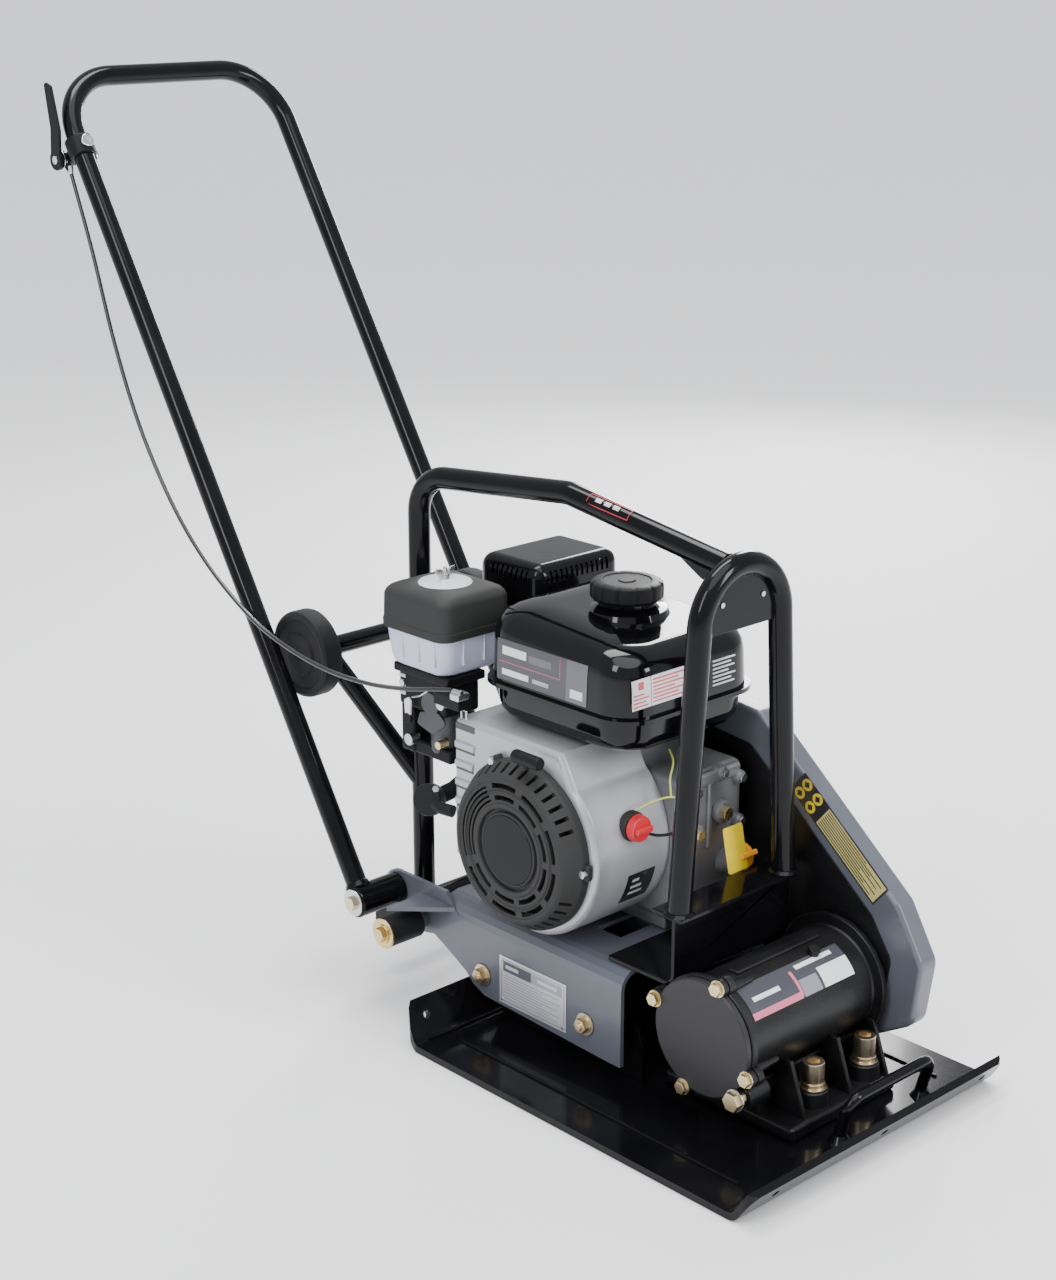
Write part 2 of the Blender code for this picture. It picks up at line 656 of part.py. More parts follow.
def make_hoop():
    top = HOOP_HEIGHT
    arch = arc((0.0, top - HOOP_TOP), HOOP_TOP, 0, 180, 10)
    foot = GUARD_BASE_TOP + GUARD_TUBE * 0.2
    line = [(HOOP_FOOT, foot)] + arch + [(-HOOP_FOOT, foot)]
    hoop = baked(tube("front_hoop", [(x, HOOP_Y, z) for x, z in line], GUARD_TUBE))
    # The hoop stands on the sheet's top edge, and clears the end of the guard bar.
    cut(hoop, box("foot_cutter", (-0.2, -0.1, 0.1), (0.2, 0.1, GUARD_BASE_TOP + GAP)))
    bar_end = ((-0.0045, HOOP_Y - 0.02, 0.5585), (-0.006, 0.060, 0.5772))
    cut(hoop, rod("bar_cutter", *bar_end, GUARD_TUBE + 0.0008, 14))
    done(hoop, "black_paint")
    profile = [(HOOP_Y, GUARD_BASE_TOP), (HOOP_Y, DECK_TOP + GAP + 0.0025), (0.046, DECK_TOP + GAP + 0.0025)]
    sheet = outline_plate("front_guard_base", sheet_outline(profile, SHEET, 0.010), -0.088, 0.088)
    shelf = [(HOOP_Y - 0.012, GUARD_BASE_TOP - 0.005), (HOOP_Y + 0.030, GUARD_BASE_TOP - 0.005),
             (HOOP_Y + 0.030, GUARD_BASE_TOP), (HOOP_Y - 0.012, GUARD_BASE_TOP)]
    weld(sheet, outline_plate("shelf", shelf, -0.088, 0.088))
    done(sheet, "black_paint")


def make_handle():
    y, z = PIVOT
    corners = [(-HANDLE_HALF_WIDTH, y, z), (-HANDLE_HALF_WIDTH, *HANDLE_TOP),
               (HANDLE_HALF_WIDTH, *HANDLE_TOP), (HANDLE_HALF_WIDTH, y, z)]
    handle = baked(tube("handle", softened(corners, HANDLE_BEND, 6), HANDLE_TUBE))
    for side, sign in sides():
        ends = ((sign * SLEEVE_OUT, y, z), (sign * SLEEVE_IN, y, z))
        weld(handle, rod("sleeve", *ends, SLEEVE_RADIUS, 20))
    for side, sign in sides():
        ends = ((sign * (SLEEVE_OUT + 0.01), y, z), (sign * (SLEEVE_IN - 0.01), y, z))
        cut(handle, rod("sleeve_bore", *ends, 0.0136, 20))
    done(handle, "black_paint", (0.0, y, z))
    for side, sign in sides():
        low, high = span(sign, SLEEVE_IN, SLEEVE_OUT)
        done(ring("pivot_bush_" + side, low, high, PIVOT, PIVOT_ROD + 0.0005, 0.0131), "rubber", (low, y, z))
        spot = lambda x: (sign * x, y, z)
        bolt = rod("pivot_bolt_" + side, spot(SLEEVE_OUT + GAP), spot(0.1685), 0.0155, 16)
        weld(bolt, rod("head", spot(0.168), spot(0.1735), 0.008, 6))
        weld(bolt, rod("rod", spot(0.080), spot(0.168), PIVOT_ROD, 12))
        weld(bolt, rod("nut", spot(0.084), spot(DECK_HALF_WIDTH - SHEET - 0.0066), 0.009, 6))
        done(bolt, "steel", (sign * 0.12, y, z))


def make_wheels():
    y, z = AXLE
    frame = rod("wheel_axle_frame", (-WHEEL_IN + 0.002, y, z), (WHEEL_IN - 0.002, y, z), AXLE_RADIUS, 14)
    for side, sign in sides():
        weld(frame, rod("spindle", (sign * 0.10, y, z), (sign * (WHEEL_OUT - 0.004), y, z), 0.0060, 12))
    # The left brace goes to the post, the right one to the cross bar.
    left_end = (POST[0] - 0.010, POST[1] + 0.010, 0.218)
    right_end = (0.070, POST[1] + 0.008, CROSS_BAR_Z + 0.004)
    weld(frame, rod("brace", (-0.098, y, z - 0.004), left_end, AXLE_RADIUS, 12))
    weld(frame, rod("brace", (0.098, y, z - 0.004), right_end, AXLE_RADIUS, 12))
    cut(frame, rod("post_cutter", (*POST, 0.1), (*POST, 0.5), GUARD_TUBE + 0.0008, 20))
    ends = ((-0.12, POST[1], CROSS_BAR_Z), (0.12, POST[1], CROSS_BAR_Z))
    cut(frame, rod("bar_cutter", *ends, GUARD_TUBE + 0.0008, 20))
    done(frame, "black_paint")
    for side, sign in sides():
        bore, edge, wide = 0.0066, 0.004, WHEEL_OUT - WHEEL_IN
        profile = [(bore, 0.0), (0.022, 0.0), (0.024, -0.003), (0.040, -0.003), (0.042, 0.0),
                   (WHEEL_RADIUS - edge, 0.0), (WHEEL_RADIUS, -edge), (WHEEL_RADIUS, edge - wide),
                   (WHEEL_RADIUS - edge, -wide), (bore, -wide), (bore, 0.0)]
        wheel = turned("wheel_" + side, profile, (0.0, 0.0, 0.0), "X", 22)
        wheel.matrix_world = Matrix.Translation((sign * WHEEL_OUT, y, z)) @ Matrix.Scale(sign, 4, (1, 0, 0))
        done(wheel, "rubber", (sign * 0.125, y, z))


def leg_point(away, off=0.0):
    """A point on the left leg's middle line, at a distance from the pivot, moved off to the rear."""
    run = Vector((0.0, HANDLE_TOP[0] - PIVOT[0], HANDLE_TOP[1] - PIVOT[1])).normalized()
    rear = Vector((0.0, run.z, -run.y))
    return Vector((-HANDLE_HALF_WIDTH, *PIVOT)) + run * away + rear * off


def make_throttle():
    low, high = leg_point(0.923), leg_point(0.948)
    clamp = rod("throttle_clamp", low, high, 0.0165, 16)
    hub = leg_point(0.936, 0.029)
    weld(clamp, rod("lug", leg_point(0.936, 0.010), hub, 0.0080, 12))
    weld(clamp, rod("barrel", hub + Vector((-0.0145, 0, 0)), hub + Vector((0.030, 0, 0)), 0.0075, 14))
    weld(clamp, rod("disc", hub + Vector((0.029, 0, 0)), hub + Vector((0.033, 0, 0)), 0.0130, 14))
    stop = Vector(CABLE_ROUTE[0])
    weld(clamp, rod("stop", hub + Vector((-0.010, 0, 0)), stop + Vector((0.0, 0.002, 0.0060)), 0.0045, 12))
    cut(clamp, rod("leg_cutter", leg_point(0.90), leg_point(0.960), HANDLE_TUBE + GAP, 20))
    end_cut = stop + Vector((0.0, 0.0, 0.0005))
    cut(clamp, box("stop_cutter", end_cut - Vector((0.01, 0.02, 0.02)), end_cut + Vector((0.01, 0.01, 0.0))))
    done(clamp, "black_plastic")
    pin = hub + Vector((-0.0150, 0.0, 0.0))
    lever = rod("throttle_lever", pin, pin + Vector((-0.006, 0, 0)), 0.0125, 14)
    tip = (0.897, 0.984)
    blade = [(hub.y - 0.010, hub.z), (hub.y - 0.013, hub.z + 0.035), (tip[0] - 0.009, tip[1]),
             (tip[0] + 0.004, tip[1] + 0.006), (hub.y + 0.006, hub.z + 0.038), (hub.y + 0.010, hub.z)]
    weld(lever, outline_plate("blade", blade, pin.x - 0.0055, pin.x - 0.0015))
    done(lever, "black_plastic", tuple(hub))


def make_cable():
    """The cable's line, read from a smooth curve through its route."""
    route = [Vector(p) for p in CABLE_ROUTE]
    ends = [route[0] * 2 - route[1]] + route + [route[-1] * 2 - route[-2]]
    line = []
    for a, b, c, d in zip(ends, ends[1:], ends[2:], ends[3:]):
        for k in range(3):
            t = k / 3
            line.append(0.5 * ((2 * b) + (c - a) * t + (2 * a - 5 * b + 4 * c - d) * t ** 2
                               + (3 * b - a - 3 * c + d) * t ** 3))
    line.append(route[-1])
    done(tube("throttle_cable", line, CABLE_RADIUS, 2), "rubber")


# Engine.

def make_crankcase():
    y, z = CRANK
    low = DECK_TOP + GAP
    case = box("crankcase", (0.0008, 0.030, low + 0.012), (0.099, 0.232, 0.318), 0.010, 2)
    weld(case, box("foot", (0.0060, 0.054, low), (0.092, 0.224, low + 0.020)))
    slope = math.radians(25)
    head = Vector((0.0530, y, z))
    for name, near, far, half_x, half_up in (
        ("cylinder", 0.050, 0.130, 0.046, 0.048), ("head", 0.127, 0.158, 0.0505, 0.052),
    ):
        block = box(name, (-half_x, near, -half_up), (half_x, far, half_up))
        block.matrix_world = Matrix.Translation(head) @ Matrix.Rotation(slope, 4, "X")
        weld(case, baked(block))
    for i in range(6):
        near = 0.066 + i * 0.011
        fin = box("fin", (-0.051, near, -0.056), (0.052, near + 0.003, 0.056))
        fin.matrix_world = Matrix.Translation(head) @ Matrix.Rotation(slope, 4, "X")
        weld(case, baked(fin))
    weld(case, rod("filler", (FILLER[0], FILLER[1] + 0.03, FILLER[2] - 0.0145), FILLER, 0.0125, 12))
    cut(case, rod("shaft_bore", (-0.08, y, z), (0.12, y, z), 0.0126, 14))
    done(case, "aluminium")
    cover = box("rocker_cover", (-0.040, 0.1584, -0.040), (0.040, 0.190, 0.040), 0.008, 2)
    cover.matrix_world = Matrix.Translation(head) @ Matrix.Rotation(slope, 4, "X")
    done(baked(cover), "black_paint")
    shaft = rod("crankshaft", (-0.100, y, z), (0.136, y, z), 0.0100, 14)
    done(shaft, "steel", (0.0, y, z))
    cap = rod("spark_plug_cap", (-0.104, 0.303, 0.246), (-0.118, 0.299, 0.250), 0.018, 14)
    weld(cap, rod("elbow", (-0.106, 0.302, 0.247), (-0.060, 0.296, 0.262), 0.009, 12))
    weld(cap, rod("lead", (-0.110, 0.295, 0.246), (-0.1085, 0.2660, 0.244), 0.007, 12))
    done(cap, "rubber")


def shroud_line(inset):
    y, z = CRANK
    line = arc((y, z), SHROUD_RADIUS - inset, 130, 318, 14)
    rear, top = 0.264 - inset, 0.355 - inset
    return line + [(rear, 0.196 + inset), (rear, top), (0.100, top)]


def make_shroud():
    shroud = outline_plate("blower_shroud", shroud_line(0.0), SHROUD_LEFT, SHROUD_RIGHT)
    cut(shroud, outline_plate("inside_cutter", shroud_line(0.003), SHROUD_LEFT + 0.003, SHROUD_RIGHT + 0.01))
    y, z = CRANK
    cut(shroud, rod("mouth", (SHROUD_LEFT - 0.01, y, z), (SHROUD_LEFT + 0.01, y, z), 0.078, 22))
    done(shroud, "silver_paint")
    fan = turned("flywheel_fan", [(0.0104, -0.056), (0.045, -0.056), (0.084, -0.060), (0.084, -0.064),
                                  (0.050, -0.068), (0.040, -0.090), (0.0104, -0.090), (0.0104, -0.056)],
                 (0.0, y, z), "X", 20)
    for k in range(12):
        blade = box("blade", (-0.084, -0.0012, 0.040), (-0.062, 0.0012, 0.082))
        blade.matrix_world = Matrix.Translation((0.0, y, z)) @ Matrix.Rotation(math.tau * k / 12, 4, "X")
        weld(fan, baked(blade))
    done(fan, "aluminium", (-0.075, y, z))
    left = RECOIL_LEFT
    rim = SHROUD_LEFT - GAP
    profile = [(0.0, rim - 0.0265), (0.070, rim - 0.026), (0.088, rim - 0.010), (0.090, rim),
               (RECOIL_RADIUS, rim), (RECOIL_RADIUS, rim - 0.008), (0.088, rim - 0.016),
               (0.078, left + 0.002),
               (0.072, left), (0.0, left)]
    recoil = turned("recoil_cover", profile, (0.0, y, z), "X", 24)
    done(recoil, "black_plastic")
    grip = rod("starter_grip", (-0.130, 0.104, 0.348), (-0.130, 0.144, 0.348), 0.0075, 12)
    weld(grip, rod("stem", (-0.130, 0.124, 0.348), (-0.130, 0.124, 0.3395), 0.0050, 12))
    done(grip, "black_plastic", (-0.130, 0.124, 0.345))


def make_tank():
    x0, y0, z0 = TANK_LOW
    x1, y1, z1 = TANK_HIGH
    seam = TANK_SEAM
    flange = [(p.x, p.y) for p in softened([(x0, y0, 0.0), (x1, y0, 0.0), (x1, y1, 0.0), (x0, y1, 0.0)],
                                           TANK_CORNER, 4, closed=True)]
    tank = outline_plate("fuel_tank", flange, seam - 0.0015, seam + 0.0015, "Z")
    lower = tapered("lower", (x0 + 0.009, y0 + 0.009, x1 - 0.009, y1 - 0.009), 0.014, seam, z0, TANK_CORNER)
    upper = tapered("upper", (x0 + 0.005, y0 + 0.005, x1 - 0.005, y1 - 0.005), 0.014, seam, z1, TANK_CORNER,
                    TANK_FALL)
    weld(tank, lower, upper)
    x, y = CAP_PLACE
    weld(tank, rod("neck", (x, y, NECK_TOP - 0.030), (x, y, NECK_TOP), 0.031, 16))
    done(tank, "black_paint")
    profile = [(0.0, CAP_TOP), (0.036, CAP_TOP),
               (CAP_RADIUS, CAP_TOP - 0.005), (CAP_RADIUS, CAP_TOP - 0.018),
               (0.036, NECK_TOP + 0.0005), (0.0, NECK_TOP + 0.0005)]
    done(turned("fuel_cap", profile, (x, y, 0.0), "Z", 22), "black_plastic", (x, y, CAP_TOP))


def tapered(name, rect, taper, start_z, end_z, corner, fall=0.0):
    """A block whose far end is smaller by a taper all round, with rounded upright corners. The far
    end may fall towards the front."""
    x0, y0, x1, y1 = rect
    mesh = bpy.data.meshes.new(name)
    work = bmesh.new()
    layers = []
    for part, inset in ((0.0, 0.0), (0.80, taper * 0.22), (1.0, taper)):
        line = softened([(x0 + inset, y0 + inset, 0.0), (x1 - inset, y0 + inset, 0.0),
                         (x1 - inset, y1 - inset, 0.0), (x0 + inset, y1 - inset, 0.0)],
                        corner - inset * 0.5, 4, closed=True)
        layer = []
        for point in line:
            level = end_z - fall * (y1 - point.y) / (y1 - y0)
            layer.append(work.verts.new((point.x, point.y, start_z + (level - start_z) * part)))
        layers.append(layer)
    count = len(layers[0])
    for low, high in zip(layers, layers[1:]):
        for i in range(count):
            k = (i + 1) % count
            work.faces.new((low[i], low[k], high[i]))
            work.faces.new((low[k], high[k], high[i]))
    work.faces.new(layers[0])
    work.faces.new(layers[-1])
    bmesh.ops.recalc_face_normals(work, faces=work.faces)
    work.to_mesh(mesh)
    work.free()
    return solid(name, mesh)


def make_air_cleaner():
    x0, y0 = AIR_LOW
    x1, y1 = AIR_HIGH
    low, middle, top = AIR_LEVELS
    cover = tapered("air_cleaner_cover", (x0, y0, x1, y1), 0.008, middle + GAP, top, 0.018)
    done(cover, "black_plastic")
    inner = (x0 + 0.003, y0 + 0.003, x1 - 0.003, y1 - 0.003)
    case = tapered("air_cleaner_case", inner, 0.006, middle, low, 0.016)
    done(case, "white_plastic")
    centre = ((x0 + x1) / 2, (y0 + y1) / 2)
    nut = rod("wing_nut", (*centre, top + GAP), (*centre, top + 0.006), 0.015, 14, 0.010)
    weld(nut, box("wings", (centre[0] - 0.013, centre[1] - 0.0015, top + 0.003),
                  (centre[0] + 0.013, centre[1] + 0.0015, top + 0.017)))
    done(nut, "steel", (*centre, top))
    carb = box("carburettor", (-0.100, 0.280, 0.284), (-0.0455, 0.372, low - GAP), 0.004)
    weld(carb, box("control", (-0.121, 0.2400, 0.378), (-0.104, 0.2545, 0.3860)))
    weld(carb, box("stay", (-0.1165, 0.2450, 0.3650), (-0.0985, 0.2860, 0.3800)))
    done(carb, "black_plastic")
    lever = rod("choke_lever", (-0.1003, 0.345, 0.330), (-0.104, 0.345, 0.330), 0.006, 12)
    weld(lever, box("arm", (-0.1035, 0.341, 0.331), (-0.1008, 0.349, 0.354)))
    done(lever, "black_plastic", (-0.102, 0.345, 0.330))


def make_muffler():
    x0, y0, z0 = MUFFLER_LOW
    x1, y1, z1 = MUFFLER_HIGH
    guard = box("muffler_guard", (x0, y0, z0), (x1, y1, z1), 0.012, 2)
    wall = 0.002
    room = ((x0 + wall, y0 + wall, z0 - 0.02), (x1 - wall, y1 - wall, z1 - wall))
    cut(guard, box("inside", *room, 0.010))
    done(guard, "black_paint")
    room = 0.010
    low, high = (x0 + room, y0 + room, z0 + 0.004), (x1 - room, y1 - room, z1 - room)
    muffler = box("muffler", low, high, 0.012, 2)
    weld(muffler, rod("pipe", (0.040, 0.292, 0.390), (0.040, 0.292, 0.3732), 0.014, 12),
         rod("neck", (0.040, 0.292, 0.388), (0.040, 0.292, 0.420), 0.014, 12))
    done(muffler, "steel")


def make_controls():
    switch = rod("engine_switch", (-0.052, 0.0440, 0.276), (-0.052, 0.0290, 0.276), 0.015, 14, 0.013)
    done(switch, "red_plastic", (-0.052, 0.040, 0.276))
    out = (Vector((0.0, -0.030, 0.0145))).normalized()
    seat = Vector(FILLER) + out * GAP
    stick = rod("oil_dipstick", seat, seat + out * 0.014, 0.015, 14)
    low, high = Vector((-0.0015, -0.022, -0.002)), Vector((0.0015, -0.008, 0.018))
    weld(stick, box("tab", seat + low, seat + high))
    done(stick, "orange_plastic", tuple(seat))


for make in (
    make_base_plate, make_brackets, make_isolators, make_loop, make_exciter, make_drive, make_deck,
    make_buffers, make_guard, make_hoop, make_handle, make_wheels, make_throttle, make_cable,
    make_crankcase, make_shroud, make_tank, make_air_cleaner, make_muffler, make_controls,
):
    make()
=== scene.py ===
"""The looks of the plate compactor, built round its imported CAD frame. Metres, +Z up, +Y rear."""

import math

import bmesh
import bpy
from mathutils import Matrix, Vector


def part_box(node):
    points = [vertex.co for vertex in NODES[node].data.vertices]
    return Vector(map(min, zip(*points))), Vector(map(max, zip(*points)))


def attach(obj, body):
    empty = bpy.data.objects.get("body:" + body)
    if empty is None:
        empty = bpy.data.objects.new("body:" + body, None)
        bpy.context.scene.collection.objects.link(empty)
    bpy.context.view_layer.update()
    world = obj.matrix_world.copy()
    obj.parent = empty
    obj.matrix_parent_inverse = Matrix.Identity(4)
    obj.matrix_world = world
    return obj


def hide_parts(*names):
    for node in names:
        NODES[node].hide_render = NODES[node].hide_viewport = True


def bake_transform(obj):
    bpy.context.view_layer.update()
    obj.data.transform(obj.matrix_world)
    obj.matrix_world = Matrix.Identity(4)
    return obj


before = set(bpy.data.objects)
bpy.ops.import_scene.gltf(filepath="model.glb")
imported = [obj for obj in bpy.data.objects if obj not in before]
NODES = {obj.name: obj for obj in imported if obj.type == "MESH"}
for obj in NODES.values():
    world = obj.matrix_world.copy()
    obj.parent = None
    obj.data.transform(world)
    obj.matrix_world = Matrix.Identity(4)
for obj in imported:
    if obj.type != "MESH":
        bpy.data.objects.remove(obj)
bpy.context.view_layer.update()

# Places that the CAD model is built from.
CRANK = Vector((0.0, 0.147, 0.243))
EXCITER = Vector((0.0, -0.100, 0.108))
PIVOT = (0.368, 0.120)
HANDLE_TOP = (0.908, 0.992)
HANDLE_X = 0.154
HANDLE_BEND = 0.074
BUFFER = (0.323, 0.096)
HOOP_Y = -0.045
POST = (-0.034, 0.402)
TUBE = 0.0125
CABLE_DIAMETER = 0.005
WEB_LOW = 0.500
TANK_CORNER = 0.042
TANK_FALL = 0.018
CABLE_ROUTE = (
    (-0.1640, 0.8680, 0.8850), (-0.1660, 0.8300, 0.8000), (-0.1700, 0.7930, 0.7120),
    (-0.1730, 0.7560, 0.6380), (-0.1750, 0.7190, 0.5800), (-0.1765, 0.6700, 0.5200),
    (-0.1775, 0.6130, 0.4700), (-0.1775, 0.5480, 0.4300), (-0.1765, 0.4890, 0.4060),
    (-0.1720, 0.4120, 0.3890), (-0.1580, 0.3500, 0.3820), (-0.1380, 0.3080, 0.3810),
    (-0.1240, 0.2800, 0.3840), (-0.1160, 0.2570, 0.3870),
)


# Camera, floor and light.

def make_camera():
    data = bpy.data.cameras.new("camera")
    data.sensor_fit = "AUTO"
    data.sensor_width = 36.0
    data.lens = 62.68
    azimuth, elevation = math.radians(-43.21), math.radians(17.60)
    back = Vector((math.sin(azimuth) * math.cos(elevation), -math.cos(azimuth) * math.cos(elevation),
                   math.sin(elevation)))
    camera = bpy.data.objects.new("camera", data)
    camera.location = (-1.5918, -1.4333, 1.1543)
    camera.rotation_euler = (-back).to_track_quat("-Z", "Y").to_euler()
    data.clip_end = 50.0
    bpy.context.scene.collection.objects.link(camera)
    bpy.context.scene.camera = camera


def area_light(name, place, target, size, power, colour=(1.0, 1.0, 1.0)):
    data = bpy.data.lights.new(name, "AREA")
    data.shape = "RECTANGLE"
    data.size, data.size_y = size
    data.energy = power
    data.color = colour
    lamp = bpy.data.objects.new(name, data)
    lamp.location = place
    lamp.rotation_euler = (Vector(target) - Vector(place)).to_track_quat("-Z", "Y").to_euler()
    bpy.context.scene.collection.objects.link(lamp)


def make_studio():
    world = bpy.data.worlds.new("studio")
    bpy.context.scene.world = world
    world.use_nodes = True
    sky = world.node_tree.nodes["Background"]
    sky.inputs["Color"].default_value = (0.93, 0.95, 1.0, 1.0)
    sky.inputs["Strength"].default_value = 0.80
    middle = (0.0, 0.2, 0.4)
    area_light("key", (-2.6, -0.4, 2.4), middle, (0.7, 1.8), 45)
    area_light("front", (0.9, -2.6, 1.9), middle, (0.7, 1.4), 55)
    area_light("top", (0.2, 0.9, 2.9), middle, (1.6, 0.7), 50)
    area_light("rim", (2.4, 1.8, 1.6), middle, (0.5, 1.8), 60)
    even = bpy.data.lights.new("even", "SUN")
    even.energy = 2.0
    even.angle = math.radians(50)
    lamp = bpy.data.objects.new("even", even)
    lamp.rotation_euler = (math.radians(14), math.radians(-10), 0.0)
    bpy.context.scene.collection.objects.link(lamp)
    work = bmesh.new()
    bmesh.ops.create_grid(work, x_segments=2, y_segments=2, size=40.0)
    mesh = bpy.data.meshes.new("floor")
    work.to_mesh(mesh)
    work.free()
    floor = bpy.data.objects.new("floor", mesh)
    bpy.context.scene.collection.objects.link(floor)
    floor.data.materials.append(finish("floor_paint", (0.90, 0.90, 0.91), 0.75))
    floor.location.z = -0.0005


# Materials.

def finish(name, colour, roughness, metallic=0.0, coat=0.0, grain=0.0, scale=300.0, mottle=0.0, wear=None,
           see_through=0.0, sheen=0.0, shine=0.5):
    """A painted, plated or moulded surface. Grain is the bump's height, mottle the share by which
    colour and gloss wander, and wear the colour that shows where dust or rubbing changes it."""
    found = bpy.data.materials.get(name)
    if found:
        return found
    made = bpy.data.materials.new(name)
    made.use_nodes = True
    made.diffuse_color = (*colour, 1.0)
    tree = made.node_tree
    shader = tree.nodes["Principled BSDF"]
    shader.inputs["Metallic"].default_value = metallic
    shader.inputs["Coat Weight"].default_value = coat
    shader.inputs["Coat Roughness"].default_value = 0.06
    shader.inputs["Sheen Weight"].default_value = sheen
    shader.inputs["Specular IOR Level"].default_value = shine
    if see_through:
        shader.inputs["Subsurface Weight"].default_value = see_through
        shader.inputs["Subsurface Radius"].default_value = (0.01, 0.01, 0.012)
    place = tree.nodes.new("ShaderNodeTexCoord")
    broad = tree.nodes.new("ShaderNodeTexNoise")
    broad.inputs["Scale"].default_value = 14.0
    broad.inputs["Detail"].default_value = 5.0
    tree.links.new(place.outputs["Object"], broad.inputs["Vector"])
    hue = tree.nodes.new("ShaderNodeValToRGB")
    low = tuple(max(0.0, c * (1.0 - mottle)) for c in colour)
    high = tuple(min(1.0, c * (1.0 + mottle)) for c in colour) if wear is None else wear
    hue.color_ramp.elements[0].position = 0.35
    hue.color_ramp.elements[0].color = (*low, 1.0)
    hue.color_ramp.elements[1].position = 0.72
    hue.color_ramp.elements[1].color = (*high, 1.0)
    tree.links.new(broad.outputs["Fac"], hue.inputs["Fac"])
    tree.links.new(hue.outputs["Color"], shader.inputs["Base Color"])
    gloss = tree.nodes.new("ShaderNodeMapRange")
    gloss.inputs["From Min"].default_value = 0.3
    gloss.inputs["From Max"].default_value = 0.7
    gloss.inputs["To Min"].default_value = max(0.02, roughness * (1.0 - 0.6 * max(mottle, 0.15)))
    gloss.inputs["To Max"].default_value = min(1.0, roughness * (1.0 + 0.6 * max(mottle, 0.15)))
    tree.links.new(broad.outputs["Fac"], gloss.inputs["Value"])
    tree.links.new(gloss.outputs["Result"], shader.inputs["Roughness"])
    if grain:
        fine = tree.nodes.new("ShaderNodeTexNoise")
        fine.inputs["Scale"].default_value = scale
        fine.inputs["Detail"].default_value = 3.0
        tree.links.new(place.outputs["Object"], fine.inputs["Vector"])
        bump = tree.nodes.new("ShaderNodeBump")
        bump.inputs["Strength"].default_value = min(1.0, grain)
        bump.inputs["Distance"].default_value = 0.0004
        tree.links.new(fine.outputs["Fac"], bump.inputs["Height"])
        tree.links.new(bump.outputs["Normal"], shader.inputs["Normal"])
    return made


def black_paint():
    return finish("black_enamel", (0.004, 0.004, 0.005), 0.15, coat=0.15, grain=0.02, scale=220, mottle=0.3,
                  shine=0.12)


def tank_paint():
    return finish("tank_enamel", (0.003, 0.003, 0.004), 0.08, coat=0.3, grain=0.015, scale=160, mottle=0.2,
                  shine=0.15)


def grey_paint():
    return finish("blue_grey_enamel", (0.088, 0.096, 0.118), 0.34, coat=0.2, grain=0.10, scale=260, mottle=0.06)


def cast_black():
    return finish("black_casting", (0.006, 0.006, 0.007), 0.40, coat=0.05, grain=0.6, scale=420, mottle=0.35,
                  shine=0.3)


def cover_grey():
    return finish("cover_enamel", (0.022, 0.021, 0.025), 0.36, grain=0.1, scale=300, mottle=0.12, shine=0.3)


def rubber():
    return finish("moulded_rubber", (0.009, 0.009, 0.010), 0.62, grain=0.3, scale=500, mottle=0.3, sheen=0.05,
                  shine=0.2)


def yellow_zinc():
    return finish("yellow_zinc", (0.66, 0.50, 0.22), 0.28, 1.0, grain=0.15, scale=600, wear=(0.78, 0.66, 0.44))


def champagne_zinc():
    return finish("champagne_zinc", (0.66, 0.52, 0.34), 0.30, 1.0, grain=0.15, scale=600, wear=(0.80, 0.70, 0.52))


def bright_steel():
    return finish("bright_steel", (0.62, 0.62, 0.64), 0.26, 1.0, grain=0.12, scale=700, mottle=0.12)


def chrome():
    return finish("chrome_plate", (0.80, 0.81, 0.83), 0.10, 1.0, mottle=0.05)


def silver_paint():
    return finish("silver_enamel", (0.40, 0.41, 0.43), 0.34, 0.35, coat=0.3, grain=0.25, scale=900, mottle=0.05)


def die_cast():
    return finish("die_cast_aluminium", (0.23, 0.235, 0.25), 0.50, 0.55, grain=0.8, scale=450, mottle=0.2)


def black_plastic():
    return finish("black_plastic", (0.003, 0.003, 0.0035), 0.16, grain=0.03, scale=500, mottle=0.25,
                  shine=0.08)


def matt_plastic():
    return finish("matt_black_plastic", (0.008, 0.008, 0.009), 0.46, grain=0.3, scale=700, mottle=0.2, shine=0.15)


def badge_plastic():
    return finish("badge_plastic", (0.006, 0.006, 0.008), 0.30, grain=0.05, scale=600, mottle=0.1, shine=0.15)


def milky_plastic():
    return finish("milky_plastic", (0.62, 0.64, 0.80), 0.32, grain=0.15, scale=200, mottle=0.05, see_through=0.35)


def red_plastic():
    return finish("red_plastic", (0.62, 0.012, 0.030), 0.32, coat=0.3, grain=0.1, mottle=0.08)


def orange_plastic():
    return finish("orange_plastic", (0.90, 0.22, 0.010), 0.34, coat=0.2, grain=0.1, mottle=0.06)


def yellow_tag():
    return finish("yellow_tag", (0.85, 0.62, 0.010), 0.42, grain=0.2, mottle=0.08)


def white_enamel():
    return finish("white_enamel", (0.80, 0.80, 0.82), 0.22, coat=0.5, grain=0.05, mottle=0.03)


def print_ink(name, colour):
    return finish(name, colour, 0.38, coat=0.3, grain=0.05, mottle=0.04)


# Shapes. Each returns a bmesh in the row frame.

def rounded(work, edges, radius, segments=3):
    if radius:
        bmesh.ops.bevel(work, geom=list(edges), offset=radius, segments=segments, affect="EDGES",
                        profile=0.5, clamp_overlap=True)
    return work


def block(low, high, radius=0.0, segments=3):
    work = bmesh.new()
    bmesh.ops.create_cube(work, size=1.0)
    bmesh.ops.scale(work, vec=[b - a for a, b in zip(low, high)], verts=work.verts)
    bmesh.ops.translate(work, vec=[(a + b) / 2 for a, b in zip(low, high)], verts=work.verts)
    return rounded(work, work.edges, radius, segments)


